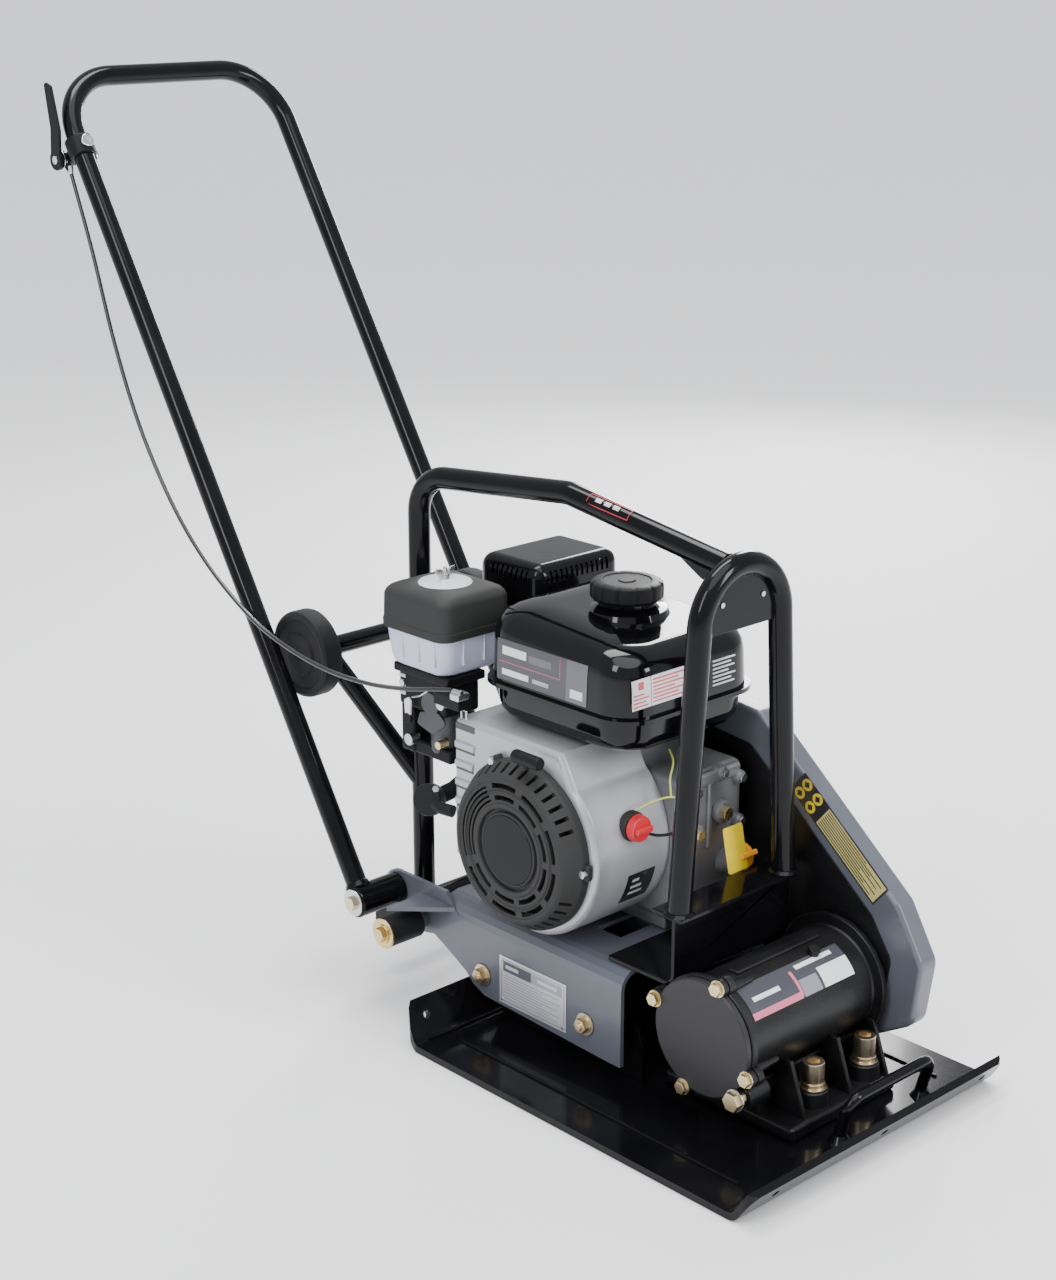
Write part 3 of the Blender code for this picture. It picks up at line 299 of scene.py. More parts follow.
def drum(start, end, radius, end_radius=None, edge=0.0, sides=40):
    """A round bar or cone between two points, with both rims softened by edge."""
    start, end = Vector(start), Vector(end)
    work = bmesh.new()
    far = radius if end_radius is None else end_radius
    bmesh.ops.create_cone(work, cap_ends=True, segments=sides, radius1=radius, radius2=far,
                          depth=(end - start).length)
    if edge:
        rims = [e for e in work.edges if any(len(f.verts) > 4 for f in e.link_faces)]
        rounded(work, rims, edge, 2)
    turn = Vector((0, 0, 1)).rotation_difference(end - start).to_matrix().to_4x4()
    bmesh.ops.transform(work, matrix=Matrix.Translation((start + end) / 2) @ turn, verts=work.verts)
    return work


def hexagon(start, end, radius, edge=0.0006):
    return drum(start, end, radius, edge=edge, sides=6)


def lathe(profile, centre, axis="X", steps=72, flutes=0, depth=0.0):
    """A turned shape. The profile is a line of (radius, height) from one end of the axis to the other.
    Flutes are shallow grooves along the axis, of a depth given as a share of the radius."""
    work = bmesh.new()
    rings = []
    for radius, height in profile:
        if radius < 1e-6:
            rings.append([work.verts.new((0.0, 0.0, height))])
            continue
        ring = []
        for i in range(steps):
            turn = math.tau * i / steps
            groove = max(0.0, math.cos(flutes * turn)) ** 6 * depth if flutes else 0.0
            reach = radius * (1.0 - groove)
            ring.append(work.verts.new((reach * math.cos(turn), reach * math.sin(turn), height)))
        rings.append(ring)
    for low, high in zip(rings, rings[1:]):
        for i in range(steps):
            k = (i + 1) % steps
            if len(low) == 1 and len(high) > 1:
                work.faces.new((low[0], high[i], high[k]))
            elif len(high) == 1 and len(low) > 1:
                work.faces.new((low[i], low[k], high[0]))
            elif len(low) > 1:
                work.faces.new((low[i], low[k], high[k], high[i]))
    if profile[0] == profile[-1]:
        bmesh.ops.remove_doubles(work, verts=work.verts, dist=1e-7)
    bmesh.ops.recalc_face_normals(work, faces=work.faces)
    turn = Matrix.Rotation(math.pi / 2, 4, "Y") if axis == "X" else Matrix.Identity(4)
    bmesh.ops.transform(work, matrix=Matrix.Translation(centre) @ turn, verts=work.verts)
    return work


FRAMES = {
    "X": lambda u, v, w: Vector((w, u, v)),
    "Y": lambda u, v, w: Vector((u, w, v)),
    "Z": lambda u, v, w: Vector((u, v, w)),
}


def slab(outline, low, high, across="X", radius=0.0, segments=3):
    """A flat outline made thick, with the edges round both faces softened."""
    work = bmesh.new()
    at = FRAMES[across]
    near = [work.verts.new(at(u, v, low)) for u, v in outline]
    far = [work.verts.new(at(u, v, high)) for u, v in outline]
    caps = [work.faces.new(near), work.faces.new(far)]
    for i in range(len(outline)):
        k = (i + 1) % len(outline)
        work.faces.new((near[i], near[k], far[k], far[i]))
    bmesh.ops.recalc_face_normals(work, faces=work.faces)
    if radius:
        rounded(work, {e for cap in caps for e in cap.edges}, radius, segments)
    return work


def arc(centre, radius, start_deg, end_deg, steps):
    points = []
    for i in range(steps + 1):
        angle = math.radians(start_deg + (end_deg - start_deg) * i / steps)
        points.append((centre[0] + radius * math.cos(angle), centre[1] + radius * math.sin(angle)))
    return points


def softened(points, radius, steps=8, closed=False):
    """A route whose corners are replaced by arcs of one radius."""
    points = [Vector(p) for p in points]
    count = len(points)
    route = []
    for i, here in enumerate(points):
        if not closed and i in (0, count - 1):
            route.append(here)
            continue
        back = (points[i - 1] - here).normalized()
        ahead = (points[(i + 1) % count] - here).normalized()
        half = back.angle(ahead) / 2
        reach = radius / math.tan(half)
        centre = here + (back + ahead).normalized() * (radius / math.sin(half))
        first = here + back * reach - centre
        last = here + ahead * reach - centre
        sweep = first.angle(last)
        for k in range(steps + 1):
            part = k / steps
            near = math.sin((1 - part) * sweep) / math.sin(sweep)
            far = math.sin(part * sweep) / math.sin(sweep)
            route.append(centre + first * near + last * far)
    return route


def flat_line(points, radius, steps=8):
    """A closed flat outline with rounded corners."""
    return [(p.x, p.y) for p in softened([(*p, 0.0) for p in points], radius, steps, closed=True)]


def pipe(route, radius, sides=28):
    """A round tube along a route, with flat closed ends."""
    route = [Vector(p) for p in route]
    work = bmesh.new()
    side = (route[1] - route[0]).normalized().orthogonal().normalized()
    rings = []
    for i, here in enumerate(route):
        along = (route[min(i + 1, len(route) - 1)] - route[max(i - 1, 0)]).normalized()
        side = (side - along * side.dot(along)).normalized()
        other = along.cross(side)
        ring = []
        for k in range(sides):
            turn = math.tau * k / sides
            ring.append(work.verts.new(here + (side * math.cos(turn) + other * math.sin(turn)) * radius))
        rings.append(ring)
    for low, high in zip(rings, rings[1:]):
        for k in range(sides):
            j = (k + 1) % sides
            work.faces.new((low[k], low[j], high[j], high[k]))
    work.faces.new(rings[0])
    work.faces.new(rings[-1])
    bmesh.ops.recalc_face_normals(work, faces=work.faces)
    return work


def loft(rings):
    """A closed skin over rings of equal counts of points."""
    work = bmesh.new()
    made = [[work.verts.new(p) for p in ring] for ring in rings]
    count = len(made[0])
    for low, high in zip(made, made[1:]):
        for i in range(count):
            k = (i + 1) % count
            work.faces.new((low[i], low[k], high[k], high[i]))
    work.faces.new(made[0])
    work.faces.new(made[-1])
    bmesh.ops.recalc_face_normals(work, faces=work.faces)
    return work


def tray(rect, levels, corner, steps=8):
    """A soft box from rings at (height, inset) levels, each a rectangle with rounded corners."""
    x0, y0, x1, y1 = rect
    rings = []
    for z, inset in levels:
        bend = max(0.004, corner - inset * 0.25)
        rings.append(softened([(x0 + inset, y0 + inset, z), (x1 - inset, y0 + inset, z),
                               (x1 - inset, y1 - inset, z), (x0 + inset, y1 - inset, z)],
                              bend, steps, closed=True))
    return loft(rings)


def merged(*works):
    """Several shapes in one bmesh, left as separate shells."""
    whole = bmesh.new()
    for work in works:
        mesh = bpy.data.meshes.new("merging")
        work.to_mesh(mesh)
        work.free()
        whole.from_mesh(mesh)
        bpy.data.meshes.remove(mesh)
    return whole


def carved(target, cutters):
    """The target with the cutters' room taken out of it."""
    objects = []
    for name, work in (("target", target), ("cutters", cutters)):
        mesh = bpy.data.meshes.new(name)
        work.to_mesh(mesh)
        work.free()
        obj = bpy.data.objects.new(name, mesh)
        bpy.context.scene.collection.objects.link(obj)
        objects.append(obj)
    add = objects[0].modifiers.new("cut", "BOOLEAN")
    add.operation = "DIFFERENCE"
    add.object = objects[1]
    add.solver = "EXACT"
    bpy.context.view_layer.update()
    seen = objects[0].evaluated_get(bpy.context.evaluated_depsgraph_get())
    result = bmesh.new()
    result.from_mesh(seen.to_mesh())
    seen.to_mesh_clear()
    for obj in objects:
        bpy.data.objects.remove(obj, do_unlink=True)
    return result


def turned_about(work, centre, degrees, axis="X"):
    spin = (Matrix.Translation(centre) @ Matrix.Rotation(math.radians(degrees), 4, axis)
            @ Matrix.Translation(-Vector(centre)))
    bmesh.ops.transform(work, matrix=spin, verts=work.verts)
    return work


def flatten(obj):
    """Keeps large faces flat beside their rounded edges."""
    level = obj.modifiers.new("flatten", "WEIGHTED_NORMAL")
    level.keep_sharp = True
    level.weight = 80


def piece(name, body, shapes, replaces=(), smooth_deg=32):
    """One object from (bmesh, material) pairs, riding on a body and standing for CAD nodes."""
    whole = bmesh.new()
    mesh = bpy.data.meshes.new(name)
    slots = []
    for work, look in shapes:
        if look.name not in slots:
            slots.append(look.name)
            mesh.materials.append(look)
        for face in work.faces:
            face.material_index = slots.index(look.name)
            face.smooth = True
        part = bpy.data.meshes.new("shape")
        work.to_mesh(part)
        work.free()
        whole.from_mesh(part)
        bpy.data.meshes.remove(part)
    whole.to_mesh(mesh)
    whole.free()
    mesh.set_sharp_from_angle(angle=math.radians(smooth_deg))
    obj = bpy.data.objects.new(name, mesh)
    bpy.context.scene.collection.objects.link(obj)
    flatten(obj)
    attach(obj, body)
    if replaces:
        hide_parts(*replaces)
    return obj


def keep(node, look, bevel=0.0008):
    """A CAD node that stays in view, with a real finish and broken edges."""
    obj = NODES[node]
    obj.data.materials.clear()
    obj.data.materials.append(look)
    weld = obj.modifiers.new("weld", "WELD")
    weld.merge_threshold = 0.00002
    if bevel:
        edge = obj.modifiers.new("edges", "BEVEL")
        edge.width = bevel
        edge.segments = 2
        edge.limit_method = "ANGLE"
        edge.angle_limit = math.radians(40)
        edge.harden_normals = False
    flatten(obj)


def printed(at, patches, steps=1):
    """Flat print on a surface. at(u, v, h) maps label places to the surface at a height h, and the
    patches are (u0, v0, u1, v1, level, material), each a thin raised layer."""
    shapes = []
    for u0, v0, u1, v1, level, look in patches:
        work = bmesh.new()
        low_h, high_h = 0.0, 0.00022 + 0.00010 * level
        rows = []
        for h in (low_h, high_h):
            row = []
            for i in range(steps + 1):
                v = v0 + (v1 - v0) * i / steps
                row.append((work.verts.new(at(u0, v, h)), work.verts.new(at(u1, v, h))))
            rows.append(row)
        bottom, top = rows
        for i in range(steps):
            work.faces.new((bottom[i][0], bottom[i][1], bottom[i + 1][1], bottom[i + 1][0]))
            work.faces.new((top[i][0], top[i][1], top[i + 1][1], top[i + 1][0]))
            for side in (0, 1):
                work.faces.new((bottom[i][side], bottom[i + 1][side], top[i + 1][side], top[i][side]))
        for i in (0, steps):
            work.faces.new((bottom[i][0], bottom[i][1], top[i][1], top[i][0]))
        bmesh.ops.recalc_face_normals(work, faces=work.faces)
        shapes.append((work, look))
    return shapes


def text_lines(u0, v0, u1, v1, rows, look, level=1, fill=0.42):
    """Rows of short bars that stand for small print."""
    patches = []
    pitch = (v1 - v0) / rows
    for i in range(rows):
        base = v0 + pitch * (i + 0.5 - fill / 2)
        end = u1 - (u1 - u0) * (0.06, 0.20, 0.02, 0.32)[i % 4]
        patches.append((u0, base, end, base + pitch * fill, level, look))
    return patches


def smooth_route(points, per_span=6):
    """Points on a smooth curve through the route's own points."""
    route = [Vector(p) for p in points]
    ends = [route[0] * 2 - route[1]] + route + [route[-1] * 2 - route[-2]]
    line = []
    for a, b, c, d in zip(ends, ends[1:], ends[2:], ends[3:]):
        for k in range(per_span):
            t = k / per_span
            line.append(0.5 * ((2 * b) + (c - a) * t + (2 * a - 5 * b + 4 * c - d) * t ** 2
                               + (3 * b - a - 3 * c + d) * t ** 3))
    line.append(route[-1])
    return line


# Cable.

def make_cable():
    line = smooth_route(CABLE_ROUTE, 7)
    work = pipe(line, CABLE_DIAMETER / 2, 14)
    mesh = bpy.data.meshes.new("throttle_cable_sheath")
    for face in work.faces:
        face.smooth = True
    work.to_mesh(mesh)
    work.free()
    look = finish("cable_sheath", (0.012, 0.012, 0.014), 0.30, coat=0.4, grain=0.1, scale=500, mottle=0.2)
    mesh.materials.append(look)
    mesh.set_sharp_from_angle(angle=math.radians(40))
    cable = bpy.data.objects.new("throttle_cable_sheath", mesh)
    bpy.context.scene.collection.objects.link(cable)
    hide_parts("throttle_cable")
    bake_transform(cable)


# Base.

def sides():
    return (("left", -1.0), ("right", 1.0))


def make_base():
    keep("base_plate", black_paint(), 0.0012)
    for side, _ in sides():
        keep("isolator_bracket_" + side, black_paint(), 0.0008)
    welds = []
    for x in (-0.155, 0.155):
        welds.append((pipe([(x, y / 100, 0.0085) for y in range(-20, 21, 2)], 0.0022, 10), black_paint()))
    welds.append((pipe([(x / 100, 0.226, 0.0093) for x in range(-18, 19, 3)], 0.0016, 10), black_paint()))
    for x, y in ((-0.020, -0.2135), (0.112, -0.2135)):
        welds.append((lathe([(0.0, 0.0155), (0.0070, 0.0150), (0.0100, 0.0110), (0.0125, 0.0075), (0.0, 0.0075)],
                            (x, y, 0.0), "Z", 24), black_paint()))
    piece("base_welds", "machine", welds)
    low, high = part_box("front_lift_loop")
    x0, x1, top = low.x + 0.006, high.x - 0.006, high.z - 0.006
    corners = [(x0, -0.212, 0.0145), (x0, -0.224, top), (x1, -0.224, top), (x1, -0.212, 0.0145)]
    piece("lift_loop_bar", "machine", [(pipe(softened(corners, 0.016), 0.006, 24), black_paint())],
          ["front_lift_loop"])


def make_isolators():
    outer = -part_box("data_plate")[1].x
    for side, sign in sides():
        for end, y in (("front", 0.063), ("rear", 0.223)):
            spot = lambda x: (sign * x, y, 0.062)
            shapes = [
                (lathe([(0.0, 0.0803), (0.0160, 0.0803), (0.0172, 0.0815), (0.0160, 0.0890), (0.0172, 0.0965),
                        (0.0160, 0.0977), (0.0, 0.0977)], (0.0, y, 0.062), "X"), rubber()),
                (drum(spot(0.062), spot(outer + 0.0120), 0.0040, edge=0.0008), champagne_zinc()),
                (drum(spot(outer + 0.0003), spot(outer + 0.0022), 0.0125, edge=0.0005), champagne_zinc()),
                (drum(spot(outer + 0.0022), spot(outer + 0.0036), 0.0092, edge=0.0004), champagne_zinc()),
                (hexagon(spot(outer + 0.0036), spot(outer + 0.0098), 0.0085), yellow_zinc()),
                (hexagon(spot(0.0660), spot(0.0735), 0.0085), yellow_zinc()),
            ]
            if sign < 0:
                bmesh.ops.scale(shapes[0][0], vec=(-1, 1, 1), verts=shapes[0][0].verts)
                bmesh.ops.reverse_faces(shapes[0][0], faces=shapes[0][0].faces)
            name = f"isolator_{end}_{side}"
            piece(name + "_mount", "machine", shapes, [name])


def around_exciter(radius, degrees, x):
    angle = math.radians(degrees)
    return Vector((x, EXCITER.y + radius * math.cos(angle), EXCITER.z + radius * math.sin(angle)))


def make_exciter():
    low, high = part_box("exciter_housing")
    left, right = low.x, high.x
    body = lathe([(0.045, left), (0.0630, left), (0.0640, left + 0.0010), (0.0640, left + 0.0070),
                  (0.0630, left + 0.0080), (0.0580, left + 0.0086), (0.0570, left + 0.0110),
                  (0.0570, right - 0.0085), (0.0585, right - 0.0062), (0.0690, right - 0.0058),
                  (0.0700, right - 0.0050), (0.0700, right - 0.0008), (0.0690, right), (0.045, right),
                  (0.045, left)], EXCITER, "X", 96)
    shapes = [(body, cast_black())]
    for degrees in (19, 109, 199, 289):
        shapes.append((drum(around_exciter(0.0655, degrees, left + 0.0004),
                            around_exciter(0.0655, degrees, left + 0.0088), 0.0100, edge=0.0008), cast_black()))
        shapes.append((drum(around_exciter(0.0590, degrees, left + 0.0088),
                            around_exciter(0.0590, degrees, left + 0.0450), 0.0062, 0.0035, 0.0006, 20), cast_black()))
    foot_y0, foot_y1 = -0.187, -0.014
    shapes.append((block((-0.062, foot_y0, 0.0084), (0.103, foot_y1, 0.0240), 0.0040), cast_black()))
    for x, deep in screw_places():
        shapes.append((lathe([(0.0, 0.0400), (0.0150, 0.0400), (0.0162, 0.0390), (0.0178, 0.0200), (0.0, 0.0200)],
                             (x, deep, 0.0), "Z", 40), cast_black()))
    for x in (-0.0340, 0.0390, 0.0975):
        rib = [(EXCITER.y - 0.083, 0.0180), (EXCITER.y - 0.0600, 0.0800), (EXCITER.y - 0.030, 0.080),
               (EXCITER.y - 0.030, 0.018)]
        shapes.append((slab(rib, x - 0.0026, x + 0.0026, "X", 0.0012), cast_black()))
        rear = [(2 * EXCITER.y - y, z) for y, z in rib]
        shapes.append((slab(rear, x - 0.0026, x + 0.0026, "X", 0.0012), cast_black()))
    shapes.append((block((-0.060, EXCITER.y - 0.040, 0.018), (0.095, EXCITER.y + 0.040, 0.060), 0.003), cast_black()))
    boss = (EXCITER.y - 0.050, EXCITER.z - 0.048)
    shapes.append((drum((left + 0.0004, *boss), (left + 0.030, *boss), 0.0125, edge=0.001), cast_black()))
    shapes.append((block((-0.060, EXCITER.y - 0.007, EXCITER.z + 0.0555),
                         (0.070, EXCITER.y + 0.007, EXCITER.z + 0.0600),
                         0.002), cast_black()))
    shapes.append((drum((0.040, EXCITER.y - 0.020, EXCITER.z + 0.0500), (0.040, EXCITER.y - 0.024, EXCITER.z + 0.0590),
                        0.0065, edge=0.001), cast_black()))
    piece("exciter_casting", "machine", shapes, ["exciter_housing"])
    make_exciter_label()
    make_exciter_covers(left)


def screw_places():
    places = []
    for name in ("front_left", "front_right", "rear_left", "rear_right"):
        low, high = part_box("foot_screw_" + name)
        places.append(((low.x + high.x) / 2, (low.y + high.y) / 2))
    return places


def make_exciter_label():
    def at(u, v, h):
        return around_exciter(0.0571 + h, v, u)

    dark = print_ink("label_dark", (0.045, 0.045, 0.060))
    pink = print_ink("label_pink", (0.62, 0.16, 0.24))
    grey = print_ink("label_grey", (0.22, 0.23, 0.26))
    white = print_ink("label_white", (0.78, 0.78, 0.82))
    patches = [(-0.080, 112, 0.074, 150, 0, dark), (-0.080, 143, -0.006, 150, 1, pink),
               (-0.008, 120, -0.004, 148, 1, pink), (-0.003, 132, 0.024, 150, 1, grey),
               (0.028, 128, 0.074, 150, 1, white)]
    patches += [(-0.070, 128, -0.030, 133, 2, white), (0.004, 116, 0.060, 121, 2, white)]
    piece("exciter_label", "machine", printed(at, patches, 10))


def make_exciter_covers(left):
    low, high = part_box("exciter_end_cover")
    face = low.x + 0.006
    shapes = [(lathe([(0.0, face), (0.0605, face), (0.0620, face + 0.0012), (0.0620, left - 0.0008),
                      (0.0612, left - 0.0003), (0.0, left - 0.0003)], EXCITER, "X", 96), cover_grey())]
    for degrees in (19, 109, 199, 289):
        shapes.append((drum(around_exciter(0.0655, degrees, face + 0.0004),
                            around_exciter(0.0655, degrees, left - 0.0006), 0.0095, edge=0.0008), cast_black()))
        shapes.append((drum(around_exciter(0.0655, degrees, face - 0.0010),
                            around_exciter(0.0655, degrees, face + 0.0006), 0.0088, edge=0.0003), yellow_zinc()))
        shapes.append((hexagon(around_exciter(0.0655, degrees, face - 0.0060),
                               around_exciter(0.0655, degrees, face - 0.0008), 0.0072), yellow_zinc()))
    piece("exciter_lid", "machine", shapes, ["exciter_end_cover"])
    low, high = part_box("drain_plug")
    spot = lambda x: (x, EXCITER.y - 0.050, EXCITER.z - 0.048)
    shapes = [(hexagon(spot(low.x), spot(low.x + 0.0070), 0.0105), yellow_zinc()),
              (drum(spot(low.x + 0.0068), spot(low.x + 0.0090), 0.0118, edge=0.0005), bright_steel()),
              (drum(spot(low.x + 0.0088), spot(high.x), 0.0080), yellow_zinc())]
    piece("drain_bolt", "machine", shapes, ["drain_plug"])
    keep("exciter_drive_cover", cast_black(), 0.0010)
    for name, (x, y) in zip(("front_left", "front_right", "rear_left", "rear_right"), screw_places()):
        cup = carved(drum((x, y, 0.0475), (x, y, 0.0700), 0.0114, edge=0.0012, sides=56),
                     hexagon((x, y, 0.0620), (x, y, 0.0800), 0.0070, 0.0))
        shapes = [(cup, champagne_zinc()),
                  (drum((x, y, 0.0403), (x, y, 0.0425), 0.0145, edge=0.0006), champagne_zinc()),
                  (drum((x, y, 0.0425), (x, y, 0.0455), 0.0120, edge=0.0006), champagne_zinc()),
                  (drum((x, y, 0.0455), (x, y, 0.0476), 0.0126, edge=0.0006), champagne_zinc()),
                  (drum((x, y, 0.0090), (x, y, 0.0480), 0.0065), champagne_zinc())]
        piece("clamp_screw_" + name, "machine", shapes, ["foot_screw_" + name])


# Deck, guard, handle and wheels.

def make_deck():
    keep("engine_deck", grey_paint(), 0.0010)
    low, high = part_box("data_plate")

    def at(u, v, h):
        return Vector((low.x + 0.0006 - h, high.y - u, low.z + v))

    foil = finish("printed_foil", (0.62, 0.63, 0.66), 0.34, 0.6, grain=0.1, mottle=0.06)
    ink = print_ink("foil_ink", (0.07, 0.07, 0.09))
    grey = print_ink("foil_grey", (0.30, 0.31, 0.35))
    wide, tall = high.y - low.y, high.z - low.z
    patches = [(0.0, 0.0, wide, tall, 0, foil), (0.006, tall - 0.017, wide - 0.006, tall - 0.005, 1, grey),
               (0.006, tall - 0.017, 0.050, tall - 0.005, 2, ink)]
    patches += [(0.003, 0.003, wide - 0.003, 0.0036, 1, ink),
                (0.003, tall - 0.0036, wide - 0.003, tall - 0.003, 1, ink),
                (0.003, 0.003, 0.0036, tall - 0.003, 1, ink), (wide - 0.0036, 0.003, wide - 0.003, tall - 0.003, 1,
                                                               ink)]
    patches += text_lines(0.008, 0.006, wide - 0.008, tall - 0.020, 9, grey)
    patches += [(0.010, tall - 0.013, 0.030, tall - 0.009, 3, foil),
                (0.060, tall - 0.013, 0.090, tall - 0.009, 3, foil)]
    rivets = [(drum(at(u, v, 0.0), at(u, v, 0.0014), 0.0018, edge=0.0003, sides=16), bright_steel())
              for u in (0.0045, wide - 0.0045) for v in (0.0045, tall - 0.0045)]
    piece("data_plate_print", "machine", printed(at, patches) + rivets, ["data_plate"])
    for side, sign in sides():
        spot = lambda x: (sign * x, *BUFFER)
        shapes = [
            (drum(spot(0.1033), spot(0.1160), 0.0100, edge=0.0010), grey_paint()),
            (drum(spot(0.1153), spot(0.1610), 0.0170, edge=0.0012, sides=56), rubber()),
            (drum(spot(0.1610), spot(0.1632), 0.0175, edge=0.0006, sides=56), yellow_zinc()),
            (drum(spot(0.1632), spot(0.1646), 0.0110, edge=0.0004), yellow_zinc()),
            (hexagon(spot(0.1646), spot(0.1700), 0.0085), yellow_zinc()),
            (drum(spot(0.0890), spot(0.1040), 0.0050), yellow_zinc()),
            (hexagon(spot(0.0895), spot(0.0977), 0.0085), yellow_zinc()),
        ]
        piece("stop_buffer_rubber_" + side, "machine", shapes, ["stop_buffer_" + side])


def make_guard():
    x, y = POST
    line = softened([(x, y, 0.070), (x, y, 0.583), (x + 0.016, 0.180, 0.600), (-0.004, HOOP_Y + 0.016, 0.562)],
                    0.045, 10)
    reach = 0.0925
    shapes = [(pipe(line, TUBE, 36), black_paint()),
              (pipe([(-reach, y, 0.070), (reach, y, 0.070)], TUBE, 36), black_paint())]
    gusset = [(0.066, 0.578), (-0.022, 0.553), (-0.022, 0.534), (0.004, 0.543)]
    shapes.append((slab(gusset, -0.0075, -0.0030, "X", 0.0008), black_paint()))
    low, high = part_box("guard_bar")
    for side, sign in sides():
        inner, outer = sorted((sign * (abs(low.x) - 0.0053), sign * abs(low.x)))
        tab = flat_line([(0.390, 0.058), (0.416, 0.058), (0.416, 0.088), (0.386, 0.128), (0.352, 0.128),
                         (0.351, 0.104)], 0.0045, 3)
        plate = carved(slab(tab, inner, outer, "X", 0.0006),
                       drum((inner - 0.01, *PIVOT), (outer + 0.01, *PIVOT), 0.0066))
        shapes.append((plate, black_paint()))
    piece("guard_tube", "machine", shapes, ["guard_bar"])
    red = print_ink("decal_red", (0.55, 0.03, 0.05))

    def at(u, v, h):
        start, end = Vector((-0.0155, 0.150, 0.5949)), Vector((-0.008, 0.040, 0.5773))
        along = (end - start).normalized()
        up = Vector((1, 0, 0)).cross(along).normalized()
        up = up if up.z > 0 else -up
        out = Vector((-1, 0, 0))
        angle = math.radians(v)
        return start + along * u + (out * math.cos(angle) + up * math.sin(angle)) * (TUBE + 0.0001 + h)

    patches = [(0.004, 12, 0.0046, 70, 0, red), (0.060, 12, 0.0606, 70, 0, red)]
    patches += [(0.004, 12, 0.0606, 16, 0, red), (0.004, 66, 0.0606, 70, 0, red)]
    patches += [(0.014 + 0.012 * i, 36, 0.022 + 0.012 * i, 58, 0, print_ink("decal_white", (0.6, 0.6, 0.62)))
                for i in range(3)]
    piece("guard_decal", "machine", printed(at, patches, 8))
    make_hoop()


def make_hoop():
    low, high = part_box("front_hoop")
    top, half, foot = high.z - TUBE, 0.060, low.z
    arch = [(half * math.cos(math.radians(a)), top - half + half * math.sin(math.radians(a)))
            for a in range(0, 181, 6)]
    line = [(high.x - TUBE, foot)] + arch + [(-high.x + TUBE, foot)]
    shapes = [(pipe([(x, HOOP_Y, z) for x, z in line], TUBE, 36), black_paint())]
    web = [(-0.049, WEB_LOW)] + [(0.049 * math.cos(math.radians(a)), top - half + 0.049 * math.sin(math.radians(a)))
                               for a in range(180, -1, -10)] + [(0.049, WEB_LOW)]
    shapes.append((slab(web, HOOP_Y - 0.002, HOOP_Y + 0.002, "Y", 0.0006), black_paint()))
    for x in (-0.030, 0.030):
        shapes.append((drum((x, HOOP_Y - 0.0036, WEB_LOW + 0.030), (x, HOOP_Y - 0.0018, WEB_LOW + 0.030), 0.0030,
                            edge=0.0006, sides=20), bright_steel()))
    for x in (-high.x + TUBE, high.x - TUBE):
        shapes.append((lathe([(0.0, 0.0035), (0.0135, 0.0030), (0.0155, 0.0012), (0.0165, 0.0), (0.0, 0.0)],
                             (x, HOOP_Y, foot - 0.0003), "Z", 32), black_paint()))
    piece("hoop_tube", "machine", shapes, ["front_hoop"])
    keep("front_guard_base", black_paint(), 0.0010)


def make_handle():
    y, z = PIVOT
    corners = [(-HANDLE_X, y, z), (-HANDLE_X, *HANDLE_TOP), (HANDLE_X, *HANDLE_TOP), (HANDLE_X, y, z)]
    shapes = [(pipe(softened(corners, HANDLE_BEND, 14), 0.012, 36), black_paint())]
    for side, sign in sides():
        inner, outer = sorted((sign * 0.1037, sign * 0.1658))
        shapes.append((lathe([(0.0137, inner), (0.0172, inner), (0.0180, inner + 0.0008),
                              (0.0180, outer - 0.0008), (0.0172, outer), (0.0137, outer), (0.0137, inner)],
                             (0.0, y, z), "X", 56), black_paint()))
        run = Vector((0.0, HANDLE_TOP[0] - y, HANDLE_TOP[1] - z)).normalized()
        foot = Vector((sign * HANDLE_X, y, z)) + run * 0.0175
        shapes.append((drum(foot - run * 0.002, foot + run * 0.004, 0.0150, 0.0125, 0.001, 32), black_paint()))
    piece("handle_tube", "handle", shapes, ["handle"])
    for side, sign in sides():
        spot = lambda x: (sign * x, y, z)
        shapes = [(drum(spot(0.1663), spot(0.1685), 0.0155, edge=0.0006, sides=56), bright_steel()),
                  (hexagon(spot(0.1684), spot(0.1735), 0.0080), champagne_zinc()),
                  (drum(spot(0.0800), spot(0.1690), 0.0060), bright_steel()),
                  (hexagon(spot(0.0840), spot(0.0914), 0.0090), bright_steel())]
        piece("pivot_screw_" + side, "machine", shapes, ["pivot_bolt_" + side])
        keep("pivot_bush_" + side, rubber(), 0.0)


